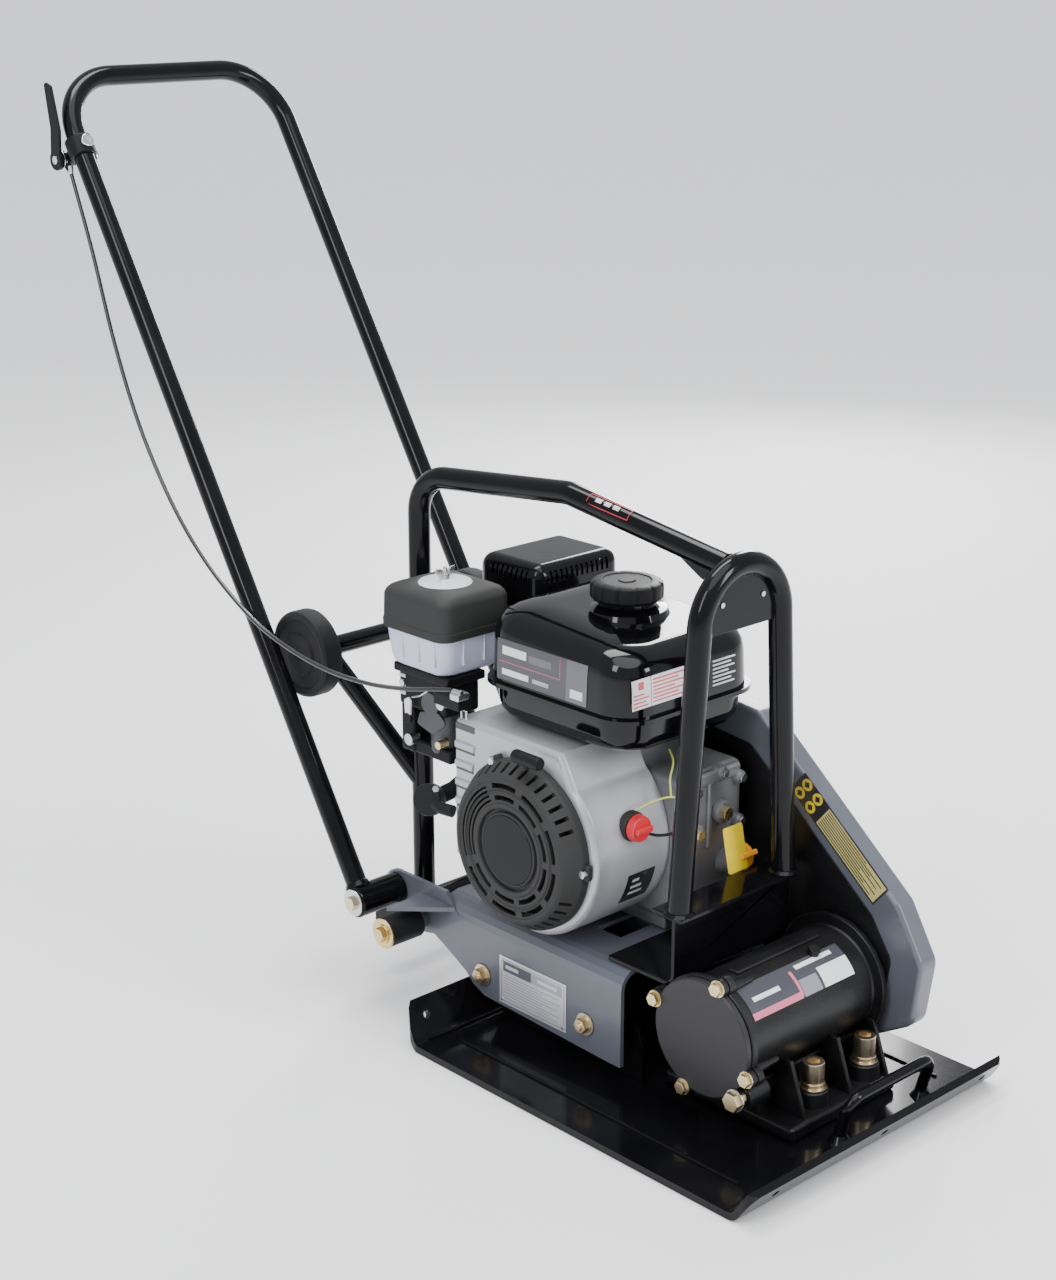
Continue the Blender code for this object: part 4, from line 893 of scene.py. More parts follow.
def make_wheels():
    low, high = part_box("wheel_left")
    y, z = (low.y + high.y) / 2, (low.z + high.z) / 2
    near, far = -high.x, -low.x
    for side, sign in sides():
        profile = [(0.0068, near), (0.0440, near), (0.0490, near + 0.0030), (0.0500, near + 0.0060),
                   (0.0500, far - 0.0060), (0.0490, far - 0.0028), (0.0455, far - 0.0002), (0.0420, far - 0.0010),
                   (0.0405, far - 0.0035), (0.0245, far - 0.0035), (0.0230, far - 0.0010), (0.0210, far - 0.0002),
                   (0.0068, far - 0.0002), (0.0068, near)]
        wheel = lathe(profile, (0.0, y, z), "X", 96)
        shapes = [(wheel, rubber())]
        if sign < 0:
            bmesh.ops.scale(wheel, vec=(-1, 1, 1), verts=wheel.verts)
            bmesh.ops.reverse_faces(wheel, faces=wheel.faces)
        piece(f"wheel_{side}_tyre", f"wheel_{side}_body", shapes, ["wheel_" + side])
    spot = lambda x: (x, y, z)
    shapes = [(pipe([spot(0.0016 - near), spot(near - 0.0016)], 0.011, 32), black_paint())]
    for side, sign in sides():
        shapes.append((drum(spot(sign * 0.10), spot(sign * (far - 0.004)), 0.006), bright_steel()))
        shapes.append((drum(spot(sign * (near - 0.0025)), spot(sign * (near - 0.0004)), 0.0125, edge=0.0006),
                       bright_steel()))
    braces = (((-0.098, y, z - 0.004), (POST[0], POST[1], 0.220)),
              ((0.098, y, z - 0.004), (0.0705, POST[1] + 0.0132, 0.090)))
    for start, end in braces:
        shapes.append((pipe([start, end], 0.011, 32), black_paint()))
    piece("axle_tube", "machine", shapes, ["wheel_axle_frame"])


def leg_point(away, off=0.0):
    run = Vector((0.0, HANDLE_TOP[0] - PIVOT[0], HANDLE_TOP[1] - PIVOT[1])).normalized()
    rear = Vector((0.0, run.z, -run.y))
    return Vector((-HANDLE_X, *PIVOT)) + run * away + rear * off


def make_throttle():
    run = (leg_point(1.0) - leg_point(0.0)).normalized()
    ring = drum(leg_point(0.9235), leg_point(0.9475), 0.0162, edge=0.0025, sides=56)
    ring = carved(ring, drum(leg_point(0.90), leg_point(0.97), 0.0123, sides=56))
    hub = leg_point(0.936, 0.029)
    stop = Vector(CABLE_ROUTE[0])
    shapes = [(ring, matt_plastic())]
    shapes.append((drum(leg_point(0.936, 0.0140), hub, 0.0080, edge=0.001), matt_plastic()))
    shapes.append((drum(hub + Vector((-0.0145, 0, 0)), hub + Vector((0.030, 0, 0)), 0.0078, edge=0.0012),
                   matt_plastic()))
    for x0, x1 in ((-0.0145, -0.0110), (0.0290, 0.0325)):
        shapes.append((drum(hub + Vector((x0, 0, 0)), hub + Vector((x1, 0, 0)), 0.0125, edge=0.0010), chrome()))
    shapes.append((drum(hub + Vector((0.0320, 0, 0)), hub + Vector((0.0330, 0, 0)), 0.0060), bright_steel()))
    front = leg_point(0.9355, -0.0150)
    out = (leg_point(0.9355, -0.030) - front).normalized()
    screw = carved(drum(front, front + out * 0.0050, 0.0078, edge=0.0012, sides=48),
                   hexagon(front + out * 0.0025, front + out * 0.0080, 0.0038, 0.0))
    shapes.append((screw, chrome()))
    shapes.append((drum(hub + Vector((-0.010, 0, 0)), stop + Vector((0.0, 0.0015, 0.0045)), 0.0040, edge=0.0006),
                   matt_plastic()))
    shapes.append((drum(stop + Vector((0.0, 0.0010, 0.0095)), stop + Vector((0.0, 0.0, 0.0006)), 0.0036, 0.0030,
                        0.0004),
                   chrome()))
    piece("throttle_clamp_body", "handle", shapes, ["throttle_clamp"])
    pin = hub + Vector((-0.0152, 0.0, 0.0))
    blade = flat_line([(hub.y - 0.009, hub.z - 0.002), (hub.y - 0.012, hub.z + 0.034), (0.887, 0.985), (0.902, 0.990),
                       (hub.y + 0.007, hub.z + 0.036), (hub.y + 0.010, hub.z - 0.002)], 0.0035, 4)
    shapes = [(drum(pin, pin + Vector((-0.0048, 0, 0)), 0.0122, edge=0.001), matt_plastic()),
              (drum(pin + Vector((-0.0046, 0, 0)), pin + Vector((-0.0058, 0, 0)), 0.0050, edge=0.0004), chrome()),
              (slab(blade, pin.x - 0.0050, pin.x - 0.0014, "X", 0.0010), matt_plastic())]
    piece("throttle_blade", "throttle_lever_body", shapes, ["throttle_lever"])


# Engine.

def ring_slot(radius, width, start, end, near, far):
    """An arc-shaped slot about the crank, as a cutter along X."""
    centre = (CRANK.y, CRANK.z)
    steps = max(4, int(abs(end - start) / 5))
    outer = arc(centre, radius + width / 2, start, end, steps)
    inner = arc(centre, radius - width / 2, end, start, steps)
    return slab(outer + inner, near, far, "X")


def make_recoil():
    low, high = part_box("recoil_cover")
    face, rim = low.x, high.x
    profile = [(0.0, face + 0.0010), (0.0395, face + 0.0010), (0.0405, face + 0.0018), (0.0412, face + 0.0050),
               (0.0445, face + 0.0050), (0.0455, face + 0.0010), (0.0470, face), (0.0500, face),
               (0.0510, face + 0.0012), (0.0620, face + 0.0012), (0.0630, face), (0.0640, face),
               (0.0650, face + 0.0014), (0.0740, face + 0.0014), (0.0755, face), (0.0770, face),
               (0.0800, face + 0.0010), (0.0830, face + 0.0045), (0.0880, face + 0.0130), (0.0895, face + 0.0160),
               (0.0925, face + 0.0200), (0.0930, face + 0.0225), (0.0930, rim), (0.0890, rim),
               (0.0860, face + 0.0200), (0.0790, face + 0.0070), (0.0740, face + 0.0048), (0.0, face + 0.0080)]
    cover = lathe(profile, CRANK, "X", 144)
    near, far = face - 0.01, face + 0.02
    slots = []
    for radius, gap in ((0.0565, 0.0052), (0.0695, 0.0056)):
        for start in range(66, 300, 38):
            slots.append(ring_slot(radius, gap, start + 4, start + 34, near, far))
    for radius in (0.0545, 0.0595, 0.0645, 0.0695):
        slots.append(ring_slot(radius, 0.0026, -22, 62, near, far))
    cover = carved(cover, merged(*slots))
    vents = []
    for degrees in range(0, 360, 9):
        if 160 < degrees < 200:
            continue
        vent = block((face + 0.0045, CRANK.y + 0.080, CRANK.z - 0.0022),
                     (face + 0.0180, CRANK.y + 0.098, CRANK.z + 0.0022))
        vents.append(turned_about(vent, CRANK, degrees))
    cover = carved(cover, merged(*vents))
    shapes = [(cover, black_plastic())]
    shapes.append((lathe([(0.0, face + 0.0002), (0.0375, face + 0.0002), (0.0385, face + 0.0010),
                          (0.0, face + 0.0012)],
                         CRANK, "X", 96), badge_plastic()))
    # Painted shade: a dark disc in the rubber finish sits behind the slots and stands in for the shaded inside of the
    # cover.
    shade_backing = lathe([(0.0, face + 0.0200), (0.0740, face + 0.0200), (0.0740, face + 0.0215), (0.0, face + 0.0215)],
                   CRANK, "X", 64)
    shapes.append((shade_backing, rubber()))
    for degrees in (62, 182, 302):
        lug = block((rim - 0.008, CRANK.y + 0.0860, CRANK.z - 0.0085),
                    (rim - 0.0002, CRANK.y + 0.0985, CRANK.z + 0.0085), 0.002)
        shapes.append((turned_about(lug, CRANK, degrees), black_plastic()))
        bolt = hexagon((rim - 0.0125, CRANK.y + 0.0935, CRANK.z), (rim - 0.0078, CRANK.y + 0.0935, CRANK.z), 0.0048)
        shapes.append((turned_about(bolt, CRANK, degrees), bright_steel()))
    piece("recoil_shell", "machine", shapes, ["recoil_cover"])
    low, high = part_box("starter_grip")
    middle = (low + high) / 2
    shapes = [(drum((middle.x, low.y, high.z - 0.0075), (middle.x, high.y, high.z - 0.0075), 0.0072, edge=0.003),
               matt_plastic()),
              (drum((middle.x, middle.y, low.z), (middle.x, middle.y, high.z - 0.007), 0.0050, edge=0.0008),
               matt_plastic())]
    piece("starter_handle", "grip_body", shapes, ["starter_grip"])


def shroud_line(inset):
    radius = 0.102
    line = arc((CRANK.y, CRANK.z), radius - inset, 130, 318, 48)
    rear, top = 0.264 - inset, 0.355 - inset
    corner = arc((rear - 0.010, top - 0.010), 0.010, 0, 90, 5)
    return line + [(rear, 0.196 + inset)] + corner + [(0.100, top)]


def make_shroud():
    low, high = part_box("blower_shroud")
    left, right = low.x, high.x
    shell = slab(shroud_line(0.0), left, right, "X", 0.0)
    rim = [e for e in shell.edges if all(abs(v.co.x - left) < 1e-6 for v in e.verts)]
    rounded(shell, rim, 0.0075, 4)
    shell = carved(shell, slab(shroud_line(0.003), left + 0.004, right + 0.01, "X"))
    shell = carved(shell, drum((left - 0.01, CRANK.y, CRANK.z), (left + 0.02, CRANK.y, CRANK.z), 0.078, sides=96))
    shapes = [(shell, silver_paint())]
    for i in range(4):
        z = 0.256 + i * 0.0215
        start = (0.243, 0.235, 0.231, 0.229)[i]
        # Painted shade: a near-black strip under each louvre stands in for the shaded opening beneath it.
        shapes.append((block((left - 0.0002, start, z - 0.0030), (left + 0.001, 0.2590, z), 0.0001, 1),
                       print_ink("louvre_gap_painted_shade", (0.02, 0.02, 0.025))))
        shapes.append((block((left - 0.0024, start, z), (left + 0.002, 0.2600, z + 0.0085), 0.0020), silver_paint()))
    # Painted shade: one more near-black strip stands in for the shaded opening of a slot above the louvres.
    shapes.append((block((left - 0.0004, 0.2290, 0.3420), (left + 0.001, 0.2590, 0.3495), 0.0003),
                   print_ink("louvre_gap_painted_shade", (0.02, 0.02, 0.025))))
    shapes.append((pipe([(left + 0.002, 0.252, 0.354), (left + 0.002, 0.252, 0.364), (left + 0.002, 0.244, 0.364),
                         (left + 0.002, 0.244, 0.354)], 0.0012, 10), bright_steel()))
    piece("shroud_shell", "machine", shapes, ["blower_shroud"])

    def at(u, v, h):
        angle = math.radians(v)
        reach = 0.1021 + h
        return Vector((u, CRANK.y + reach * math.cos(angle), CRANK.z + reach * math.sin(angle)))

    ink = print_ink("sticker_black", (0.012, 0.012, 0.014))
    pale = print_ink("sticker_pale", (0.45, 0.45, 0.48))
    patches = [(-0.058, 192, -0.018, 214, 0, ink), (-0.050, 206, -0.030, 208, 1, pale),
               (-0.050, 201, -0.034, 203, 1, pale), (-0.050, 196, -0.040, 198, 1, pale)]
    piece("shroud_sticker", "machine", printed(at, patches, 6))


def make_switch():
    low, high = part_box("engine_switch")
    middle = (low + high) / 2
    at = lambda y: (middle.x, y, middle.z)
    shapes = [(drum(at(high.y), at(high.y - 0.0100), 0.0148, 0.0138, 0.0015, 56), red_plastic()),
              (block((middle.x - 0.0115, low.y, middle.z - 0.0035),
                     (middle.x + 0.0115, low.y + 0.0062, middle.z + 0.0035), 0.0015),
               red_plastic())]
    piece("switch_knob", "switch_body", shapes, ["engine_switch"])
    yellow = print_ink("wire_yellow", (0.55, 0.60, 0.12))
    base = (drum((middle.x, high.y + 0.0004, middle.z), (middle.x, high.y + 0.0100, middle.z), 0.0160, edge=0.0012),
            black_plastic())
    wire = smooth_route([(middle.x + 0.004, 0.0480, 0.2925), (-0.034, 0.036, 0.3020), (-0.014, 0.030, 0.3030),
                         (0.002, 0.024, 0.2960), (0.012, 0.0285, 0.2850)], 6)
    lead = smooth_route([(middle.x + 0.010, 0.0440, 0.2680), (-0.028, 0.034, 0.2630), (-0.010, 0.026, 0.2640),
                         (0.012, 0.0285, 0.2680)], 6)
    upper = smooth_route([(-0.014, 0.030, 0.3030), (-0.010, 0.036, 0.3200), (0.004, 0.045, 0.3330),
                          (0.014, 0.060, 0.3400)], 5)
    shapes = [base, (pipe(wire, 0.0011, 10), yellow), (pipe(lead, 0.0016, 10), rubber()),
              (pipe(upper, 0.0011, 10), yellow)]
    piece("switch_wiring", "machine", shapes)


def make_crankcase():
    metal = die_cast()
    x0, x1 = 0.0008, 0.099
    case = block((x0, 0.030, 0.1500), (x1, 0.232, 0.318), 0.010, 4)
    shapes = [(case, metal), (block((0.006, 0.054, 0.1374), (0.092, 0.224, 0.157), 0.003), metal)]
    shapes.append((block((0.010, 0.0270, 0.300), (0.092, 0.060, 0.316), 0.004), metal))
    shapes.append((block((0.008, 0.0265, 0.200), (0.014, 0.040, 0.300), 0.0018), metal))
    shapes.append((block((0.040, 0.0265, 0.230), (0.046, 0.040, 0.304), 0.0018), metal))
    for x, z in ((0.020, 0.300), (0.088, 0.300), (0.088, 0.250), (0.020, 0.165), (0.088, 0.180), (0.060, 0.312)):
        shapes.append((drum((x, 0.0345, z), (x, 0.0235, z), 0.0085, 0.0072, 0.001, 32), metal))
        shapes.append((hexagon((x, 0.0237, z), (x, 0.0195, z), 0.0050), bright_steel()))
    for x, z, r in ((0.060, 0.268, 0.0125), (0.018, 0.255, 0.0100)):
        shapes.append((drum((x, 0.034, z), (x, 0.0210, z), r, edge=0.0012), metal))
        shapes.append((hexagon((x, 0.0212, z), (x, 0.0150, z), r * 0.62), yellow_zinc()))
    shapes.append((lathe([(0.0, 0.0), (0.0125, 0.0), (0.0130, 0.004), (0.0130, 0.034), (0.0, 0.034)], (0, 0, 0), "Z",
                         40), metal))
    aim = Vector((0.0, 0.030, -0.0145)).normalized()
    turn = Vector((0, 0, 1)).rotation_difference(aim).to_matrix().to_4x4()
    bmesh.ops.transform(shapes[-1][0], matrix=Matrix.Translation((0.070, 0.012, 0.2171)) @ turn,
                        verts=shapes[-1][0].verts)
    slope = 25.0
    head = Vector((0.053, CRANK.y, CRANK.z))
    for near, far, half_x, half_up in ((0.050, 0.130, 0.046, 0.048), (0.127, 0.158, 0.0500, 0.052)):
        part = block((head.x - half_x, head.y + near, head.z - half_up),
                     (head.x + half_x, head.y + far, head.z + half_up), 0.004)
        shapes.append((turned_about(part, head, slope), metal))
    for i in range(7):
        near = 0.066 + i * 0.0088
        fin = block((head.x - 0.051, head.y + near, head.z - 0.056),
                    (head.x + 0.052, head.y + near + 0.0024, head.z + 0.056), 0.0008, 1)
        shapes.append((turned_about(fin, head, slope), metal))
    piece("engine_block", "machine", shapes, ["crankcase"])
    rocker = block((head.x - 0.040, head.y + 0.1584, head.z - 0.040),
                   (head.x + 0.040, head.y + 0.190, head.z + 0.040), 0.009, 4)
    shapes = [(turned_about(rocker, head, slope), black_paint())]
    bolt = hexagon((head.x, head.y + 0.1900, head.z), (head.x, head.y + 0.1918, head.z), 0.0060)
    shapes.append((turned_about(bolt, head, slope), yellow_zinc()))
    piece("rocker_lid", "machine", shapes, ["rocker_cover"])


def make_dipstick():
    seat = Vector((0.070, 0.012, 0.2171))
    out = Vector((0.0, -0.030, 0.0145)).normalized()
    turn = Vector((0, 0, 1)).rotation_difference(out).to_matrix().to_4x4()
    cap = lathe([(0.0, 0.0003), (0.0142, 0.0003), (0.0148, 0.0010), (0.0148, 0.0095), (0.0138, 0.0125),
                 (0.0110, 0.0140), (0.0, 0.0140)],
                (0, 0, 0), "Z", 96, flutes=10, depth=0.07)
    grip = block((-0.0125, -0.0030, 0.0130), (0.0125, 0.0030, 0.0215), 0.0014)
    for work in (cap, grip):
        bmesh.ops.transform(work, matrix=Matrix.Translation(seat) @ turn, verts=work.verts)
    tag_line = flat_line([(0.036, 0.212), (0.036, 0.262), (0.066, 0.262), (0.066, 0.212)], 0.003, 3)
    tag = slab(tag_line, -0.0060, -0.0048, "Y", 0.0003)
    tag = turned_about(tag, (0.050, -0.0054, 0.225), -12, "X")
    piece("dipstick_cap", "dipstick_body", [(cap, orange_plastic()), (grip, orange_plastic())], ["oil_dipstick"])
    piece("filler_tag", "machine", [(tag, yellow_tag())])


def make_tank():
    low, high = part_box("fuel_tank")
    x0, y0, x1, y1 = low.x, low.y, high.x, high.y
    seam, top, bottom = 0.400, high.z, low.z
    upper = [(seam, 0.0050), (seam + 0.012, 0.0052), (seam + 0.050, 0.0064), (seam + 0.062, 0.0082),
             (seam + 0.070, 0.0115), (seam + 0.0765, 0.0170), (seam + 0.0815, 0.0245), (seam + 0.0850, 0.0340),
             (seam + 0.0872, 0.0460), (top, 0.0620)]
    lower = [(seam, 0.0090), (seam - 0.022, 0.0096), (seam - 0.030, 0.0112), (seam - 0.0360, 0.0152),
             (seam - 0.0398, 0.0215), (bottom, 0.0300)]
    rect = (x0, y0, x1, y1)
    shell = tray(rect, upper, TANK_CORNER, 12)
    for vert in shell.verts:
        vert.co.z = seam + (vert.co.z - seam) * tank_share(vert.co.y, y0, y1, top - seam)
    panel = softened([(-0.078, y0 - 0.010, 0.0), (x1 + 0.020, y0 - 0.010, 0.0), (x1 + 0.020, 0.185, 0.0),
                      (0.060, 0.170, 0.0), (-0.012, 0.138, 0.0), (-0.058, 0.060, 0.0)], 0.012, 5, closed=True)
    slope = TANK_FALL / (y1 - y0)
    recess = loft([[(x, y, top - TANK_FALL + slope * (y - y0) - 0.0026) for x, y, z in panel],
                   [(x, y, top + 0.020) for x, y, z in panel]])
    shell = carved(shell, recess)
    shapes = [(shell, tank_paint()), (tray(rect, lower, TANK_CORNER, 12), tank_paint())]
    lip = [(seam - 0.0030, 0.0012), (seam - 0.0030, 0.0), (seam + 0.0014, 0.0), (seam + 0.0018, 0.0012)]
    shapes.append((tray(rect, lip, TANK_CORNER, 12), tank_paint()))
    cap_low, cap_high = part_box("fuel_cap")
    x, y = (cap_low.x + cap_high.x) / 2, (cap_low.y + cap_high.y) / 2
    face = top - TANK_FALL * (y1 - y) / (y1 - y0)
    shapes.append((lathe([(0.0, face - 0.006), (0.046, face - 0.006), (0.043, face + 0.0010), (0.037, face + 0.0024),
                          (0.0325, face + 0.0040), (0.0310, face + 0.0050), (0.0310, cap_low.z - 0.0005),
                          (0.0, cap_low.z - 0.0005)], (x, y, 0.0), "Z", 96), tank_paint()))
    piece("tank_shell", "machine", shapes, ["fuel_tank"])
    crown, edge = cap_high.z, cap_high.x - x
    profile = [(0.0, crown), (0.0090, crown), (0.0100, crown - 0.0010), (0.0255, crown - 0.0010), (0.0270, crown),
               (edge - 0.0045, crown - 0.0004), (edge - 0.0012, crown - 0.0022), (edge, crown - 0.0055),
               (edge, crown - 0.0165), (edge - 0.0015, crown - 0.0185), (0.0345, crown - 0.0200),
               (0.0345, cap_low.z), (0.0, cap_low.z)]
    cap = lathe(profile, (x, y, 0.0), "Z", 168, flutes=12, depth=0.045)
    piece("tank_cap", "fuel_cap_body", [(cap, matt_plastic())], ["fuel_cap"])
    make_tank_labels(rect, seam, top, upper)


def tank_share(y, y0, y1, tall):
    """How tall the tank's upper half is at y, as a share of its height at the rear."""
    return 1.0 - TANK_FALL * (y1 - y) / ((y1 - y0) * tall)


def inset_at(height, levels, seam):
    for (za, ia), (zb, ib) in zip(levels, levels[1:]):
        if za <= seam + height <= zb:
            return ia + (ib - ia) * (seam + height - za) / (zb - za)
    return levels[-1][1]


def make_tank_labels(rect, seam, top, upper):
    x0, y0, x1, y1 = rect
    dark = print_ink("tank_label_dark", (0.050, 0.048, 0.062))
    mid = print_ink("tank_label_mid", (0.11, 0.11, 0.13))
    pink = print_ink("tank_label_pink", (0.38, 0.08, 0.13))
    white = print_ink("tank_label_white", (0.72, 0.72, 0.76))
    grey = print_ink("tank_label_grey", (0.36, 0.37, 0.42))
    red = print_ink("tank_label_red", (0.60, 0.05, 0.07))

    def left(u, v, h):
        y = 0.214 - u
        height = v / tank_share(y, y0, y1, top - seam)
        return Vector((x0 + inset_at(height, upper, seam) - h - 0.0002, y, seam + v))

    patches = [(0.0, 0.006, 0.134, 0.050, 0, dark), (0.104, 0.006, 0.134, 0.050, 1, mid)]
    patches += [(0.004, 0.0255, 0.094, 0.0264, 1, pink), (0.094, 0.0255, 0.0949, 0.047, 1, pink)]
    patches += [(0.008, 0.034, 0.044, 0.043, 2, white), (0.048, 0.033, 0.082, 0.041, 2, mid)]
    patches += [(0.008, 0.012, 0.048, 0.0185, 2, white), (0.054, 0.0125, 0.078, 0.0170, 2, grey),
                (0.110, 0.011, 0.128, 0.020, 2, white)]
    piece("tank_label_left", "machine", printed(left, patches, 8))

    def front(u, v, h):
        height = v / tank_share(y0, y0, y1, top - seam)
        return Vector((-0.081 + u, y0 + inset_at(height, upper, seam) - h - 0.0002, seam + v))

    patches = [(0.0, 0.014, 0.027, 0.045, 0, white), (0.028, 0.014, 0.079, 0.045, 0, white)]
    patches += text_lines(0.002, 0.015, 0.025, 0.031, 4, red) + [(0.009, 0.034, 0.017, 0.042, 1, red)]
    patches += text_lines(0.030, 0.016, 0.077, 0.043, 7, red)
    patches += text_lines(0.119, 0.012, 0.154, 0.042, 7, white)
    piece("tank_label_front", "machine", printed(front, patches, 8))


def make_air_cleaner():
    low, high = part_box("air_cleaner_cover")
    rect = (low.x, low.y, high.x, high.y)
    levels = [(low.z, 0.0010), (low.z + 0.0012, 0.0), (low.z + 0.0090, 0.0), (low.z + 0.0096, 0.0007),
              (low.z + 0.0370, 0.0013), (low.z + 0.0415, 0.0030), (low.z + 0.0450, 0.0062), (low.z + 0.0475, 0.0110),
              (low.z + 0.0488, 0.0170), (high.z, 0.0260)]
    shapes = [(tray(rect, levels, 0.016, 10), black_plastic())]
    x, y = (low.x + high.x) / 2, (low.y + high.y) / 2
    piece("air_lid", "machine", shapes, ["air_cleaner_cover"])
    top = high.z

    def at(u, v, h):
        return Vector((high.x - 0.036 + v * 0.35, low.y + 0.020 + u, top - 0.0022 - v * 0.10 + h))

    strip = print_ink("strip_yellow", (0.50, 0.46, 0.16))
    ink = print_ink("strip_ink", (0.03, 0.03, 0.03))
    patches = [(0.0, 0.0, 0.070, 0.030, 0, ink)] + text_lines(0.003, 0.004, 0.068, 0.028, 4, strip)
    piece("air_strip", "machine", printed(at, patches))
    shapes = [(lathe([(0.0, top - 0.0010), (0.0290, top - 0.0010), (0.0300, top - 0.0002), (0.0285, top + 0.0012),
                      (0.0100, top + 0.0022),
                      (0.0070, top + 0.0034), (0.0, top + 0.0034)], (x, y, 0.0), "Z", 72), white_enamel()),
              (drum((x, y, top + 0.0030), (x, y, top + 0.0100), 0.0052, 0.0042, 0.0008, 24), bright_steel())]
    for sign in (-1, 1):
        wing = flat_line([(x + sign * 0.003, top + 0.004), (x + sign * 0.0060, top + 0.0155),
                          (x + sign * 0.0130, top + 0.0165),
                          (x + sign * 0.0140, top + 0.0110), (x + sign * 0.0075, top + 0.0045)], 0.0015, 3)
        shapes.append((slab(wing, y - 0.0013, y + 0.0013, "Y", 0.0006), bright_steel()))
    shapes.append((drum((x, y, top + 0.0095), (x, y, top + 0.0165), 0.0026, edge=0.0004, sides=20), bright_steel()))
    piece("wing_nut_and_disc", "wing_nut_body", shapes, ["wing_nut"])
    low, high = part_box("air_cleaner_case")
    rect = (low.x, low.y, high.x, high.y)
    levels = [(low.z, 0.0100), (low.z + 0.0030, 0.0060), (low.z + 0.0100, 0.0034), (high.z - 0.0040, 0.0004),
              (high.z, 0.0)]
    shapes = [(tray(rect, levels, 0.018, 10), milky_plastic())]
    for y in (0.292, 0.318, 0.345):
        shapes.append((block((low.x - 0.0002, y, low.z + 0.012), (low.x + 0.004, y + 0.0012, high.z - 0.001), 0.0004,
                             1), milky_plastic()))
    for x in (-0.080, -0.050):
        shapes.append((block((x, low.y - 0.0002, low.z + 0.012), (x + 0.0012, low.y + 0.004, high.z - 0.001), 0.0004,
                             1), milky_plastic()))
    piece("air_case", "machine", shapes, ["air_cleaner_case"])


def make_carburettor():
    low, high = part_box("carburettor")
    top = high.z
    x0, x1, y0, y1 = -0.100, high.x, 0.280, high.y
    dark = matt_plastic()
    metal = finish("carburettor_metal", (0.075, 0.075, 0.082), 0.42, 0.7, grain=0.4, mottle=0.2)
    shapes = [(block((x0 + 0.004, y0 + 0.010, 0.340), (x1, y1 - 0.004, top), 0.004), dark),
              (block((x0 + 0.012, y0 + 0.012, 0.284), (x1, y1 - 0.010, 0.300), 0.003), dark),
              (block((x0 + 0.010, y1 - 0.022, 0.284), (x1, y1, top), 0.003), dark)]
    shapes.append((block((x0, y0, top - 0.010), (x1, y1, top), 0.002), dark))
    shapes.append((drum((x0 + 0.030, y0 + 0.036, 0.295), (x0 + 0.030, y0 + 0.036, 0.345), 0.0190, edge=0.003), metal))
    shapes.append((drum((x0 + 0.030, y0 + 0.036, 0.286), (x0 + 0.030, y0 + 0.036, 0.298), 0.0160, 0.0200, 0.002),
                   metal))
    shapes.append((hexagon((x0 + 0.030, y0 + 0.036, 0.2842), (x0 + 0.030, y0 + 0.036, 0.287), 0.006), yellow_zinc()))
    shapes.append((drum((x0 + 0.0015, y0 + 0.034, 0.352), (x1, y0 + 0.034, 0.352), 0.0140, edge=0.002), metal))
    for y, z, radius, look in ((0.296, 0.356, 0.0065, bright_steel()), (0.350, 0.302, 0.0070, bright_steel()),
                               (0.300, 0.308, 0.0050, yellow_zinc()), (0.360, 0.366, 0.0045, bright_steel())):
        shapes.append((drum((x0 + 0.014, y, z), (x0 + 0.0008, y, z), radius, edge=0.0012), look))
    shapes.append((pipe(softened([(x0 + 0.004, 0.290, 0.372), (x0 + 0.002, 0.312, 0.370), (x0 + 0.003, 0.330, 0.358),
                                  (x0 + 0.005, 0.346, 0.352)],
                                 0.008, 4), 0.0014, 12), bright_steel()))
    shapes.append((slab(flat_line([(0.286, 0.335), (0.300, 0.345), (0.330, 0.340), (0.336, 0.325), (0.310, 0.318)],
                                  0.004, 4),
                        x0 + 0.002, x0 + 0.0038, "X", 0.0004), metal))
    for i in range(3):
        z = 0.352 + 0.010 * i
        shapes.append((block((x0 + 0.0032, 0.3560, z), (x0 + 0.005, 0.3660, z + 0.004), 0.0006),
                       print_ink("tick_white", (0.55, 0.55, 0.58))))
    shapes.append((block((-0.1210, 0.2405, 0.3780), (-0.1045, 0.2545, 0.3860), 0.0015), bright_steel()))
    shapes.append((block((-0.1165, 0.2450, 0.3650), (-0.0985, 0.2860, 0.3800), 0.0015), dark))
    shapes.append((drum((-0.1160, 0.2400, 0.3870 + 0.0005), (-0.1160, 0.2540, 0.3870 - 0.0005), 0.0030, edge=0.0006,
                        sides=20), bright_steel()))
    piece("carburettor_body", "machine", shapes, ["carburettor"])
    low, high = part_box("choke_lever")
    shapes = [(drum((high.x, 0.345, 0.330), (low.x, 0.345, 0.330), 0.0060, edge=0.0006), matt_plastic()),
              (slab(flat_line([(0.341, 0.330), (0.3395, 0.350), (0.344, 0.3545), (0.3505, 0.350), (0.349, 0.330)],
                              0.002, 4),
                    low.x + 0.0003, high.x - 0.0006, "X", 0.0008), white_enamel())]
    piece("choke_tab", "choke_body", shapes, ["choke_lever"])


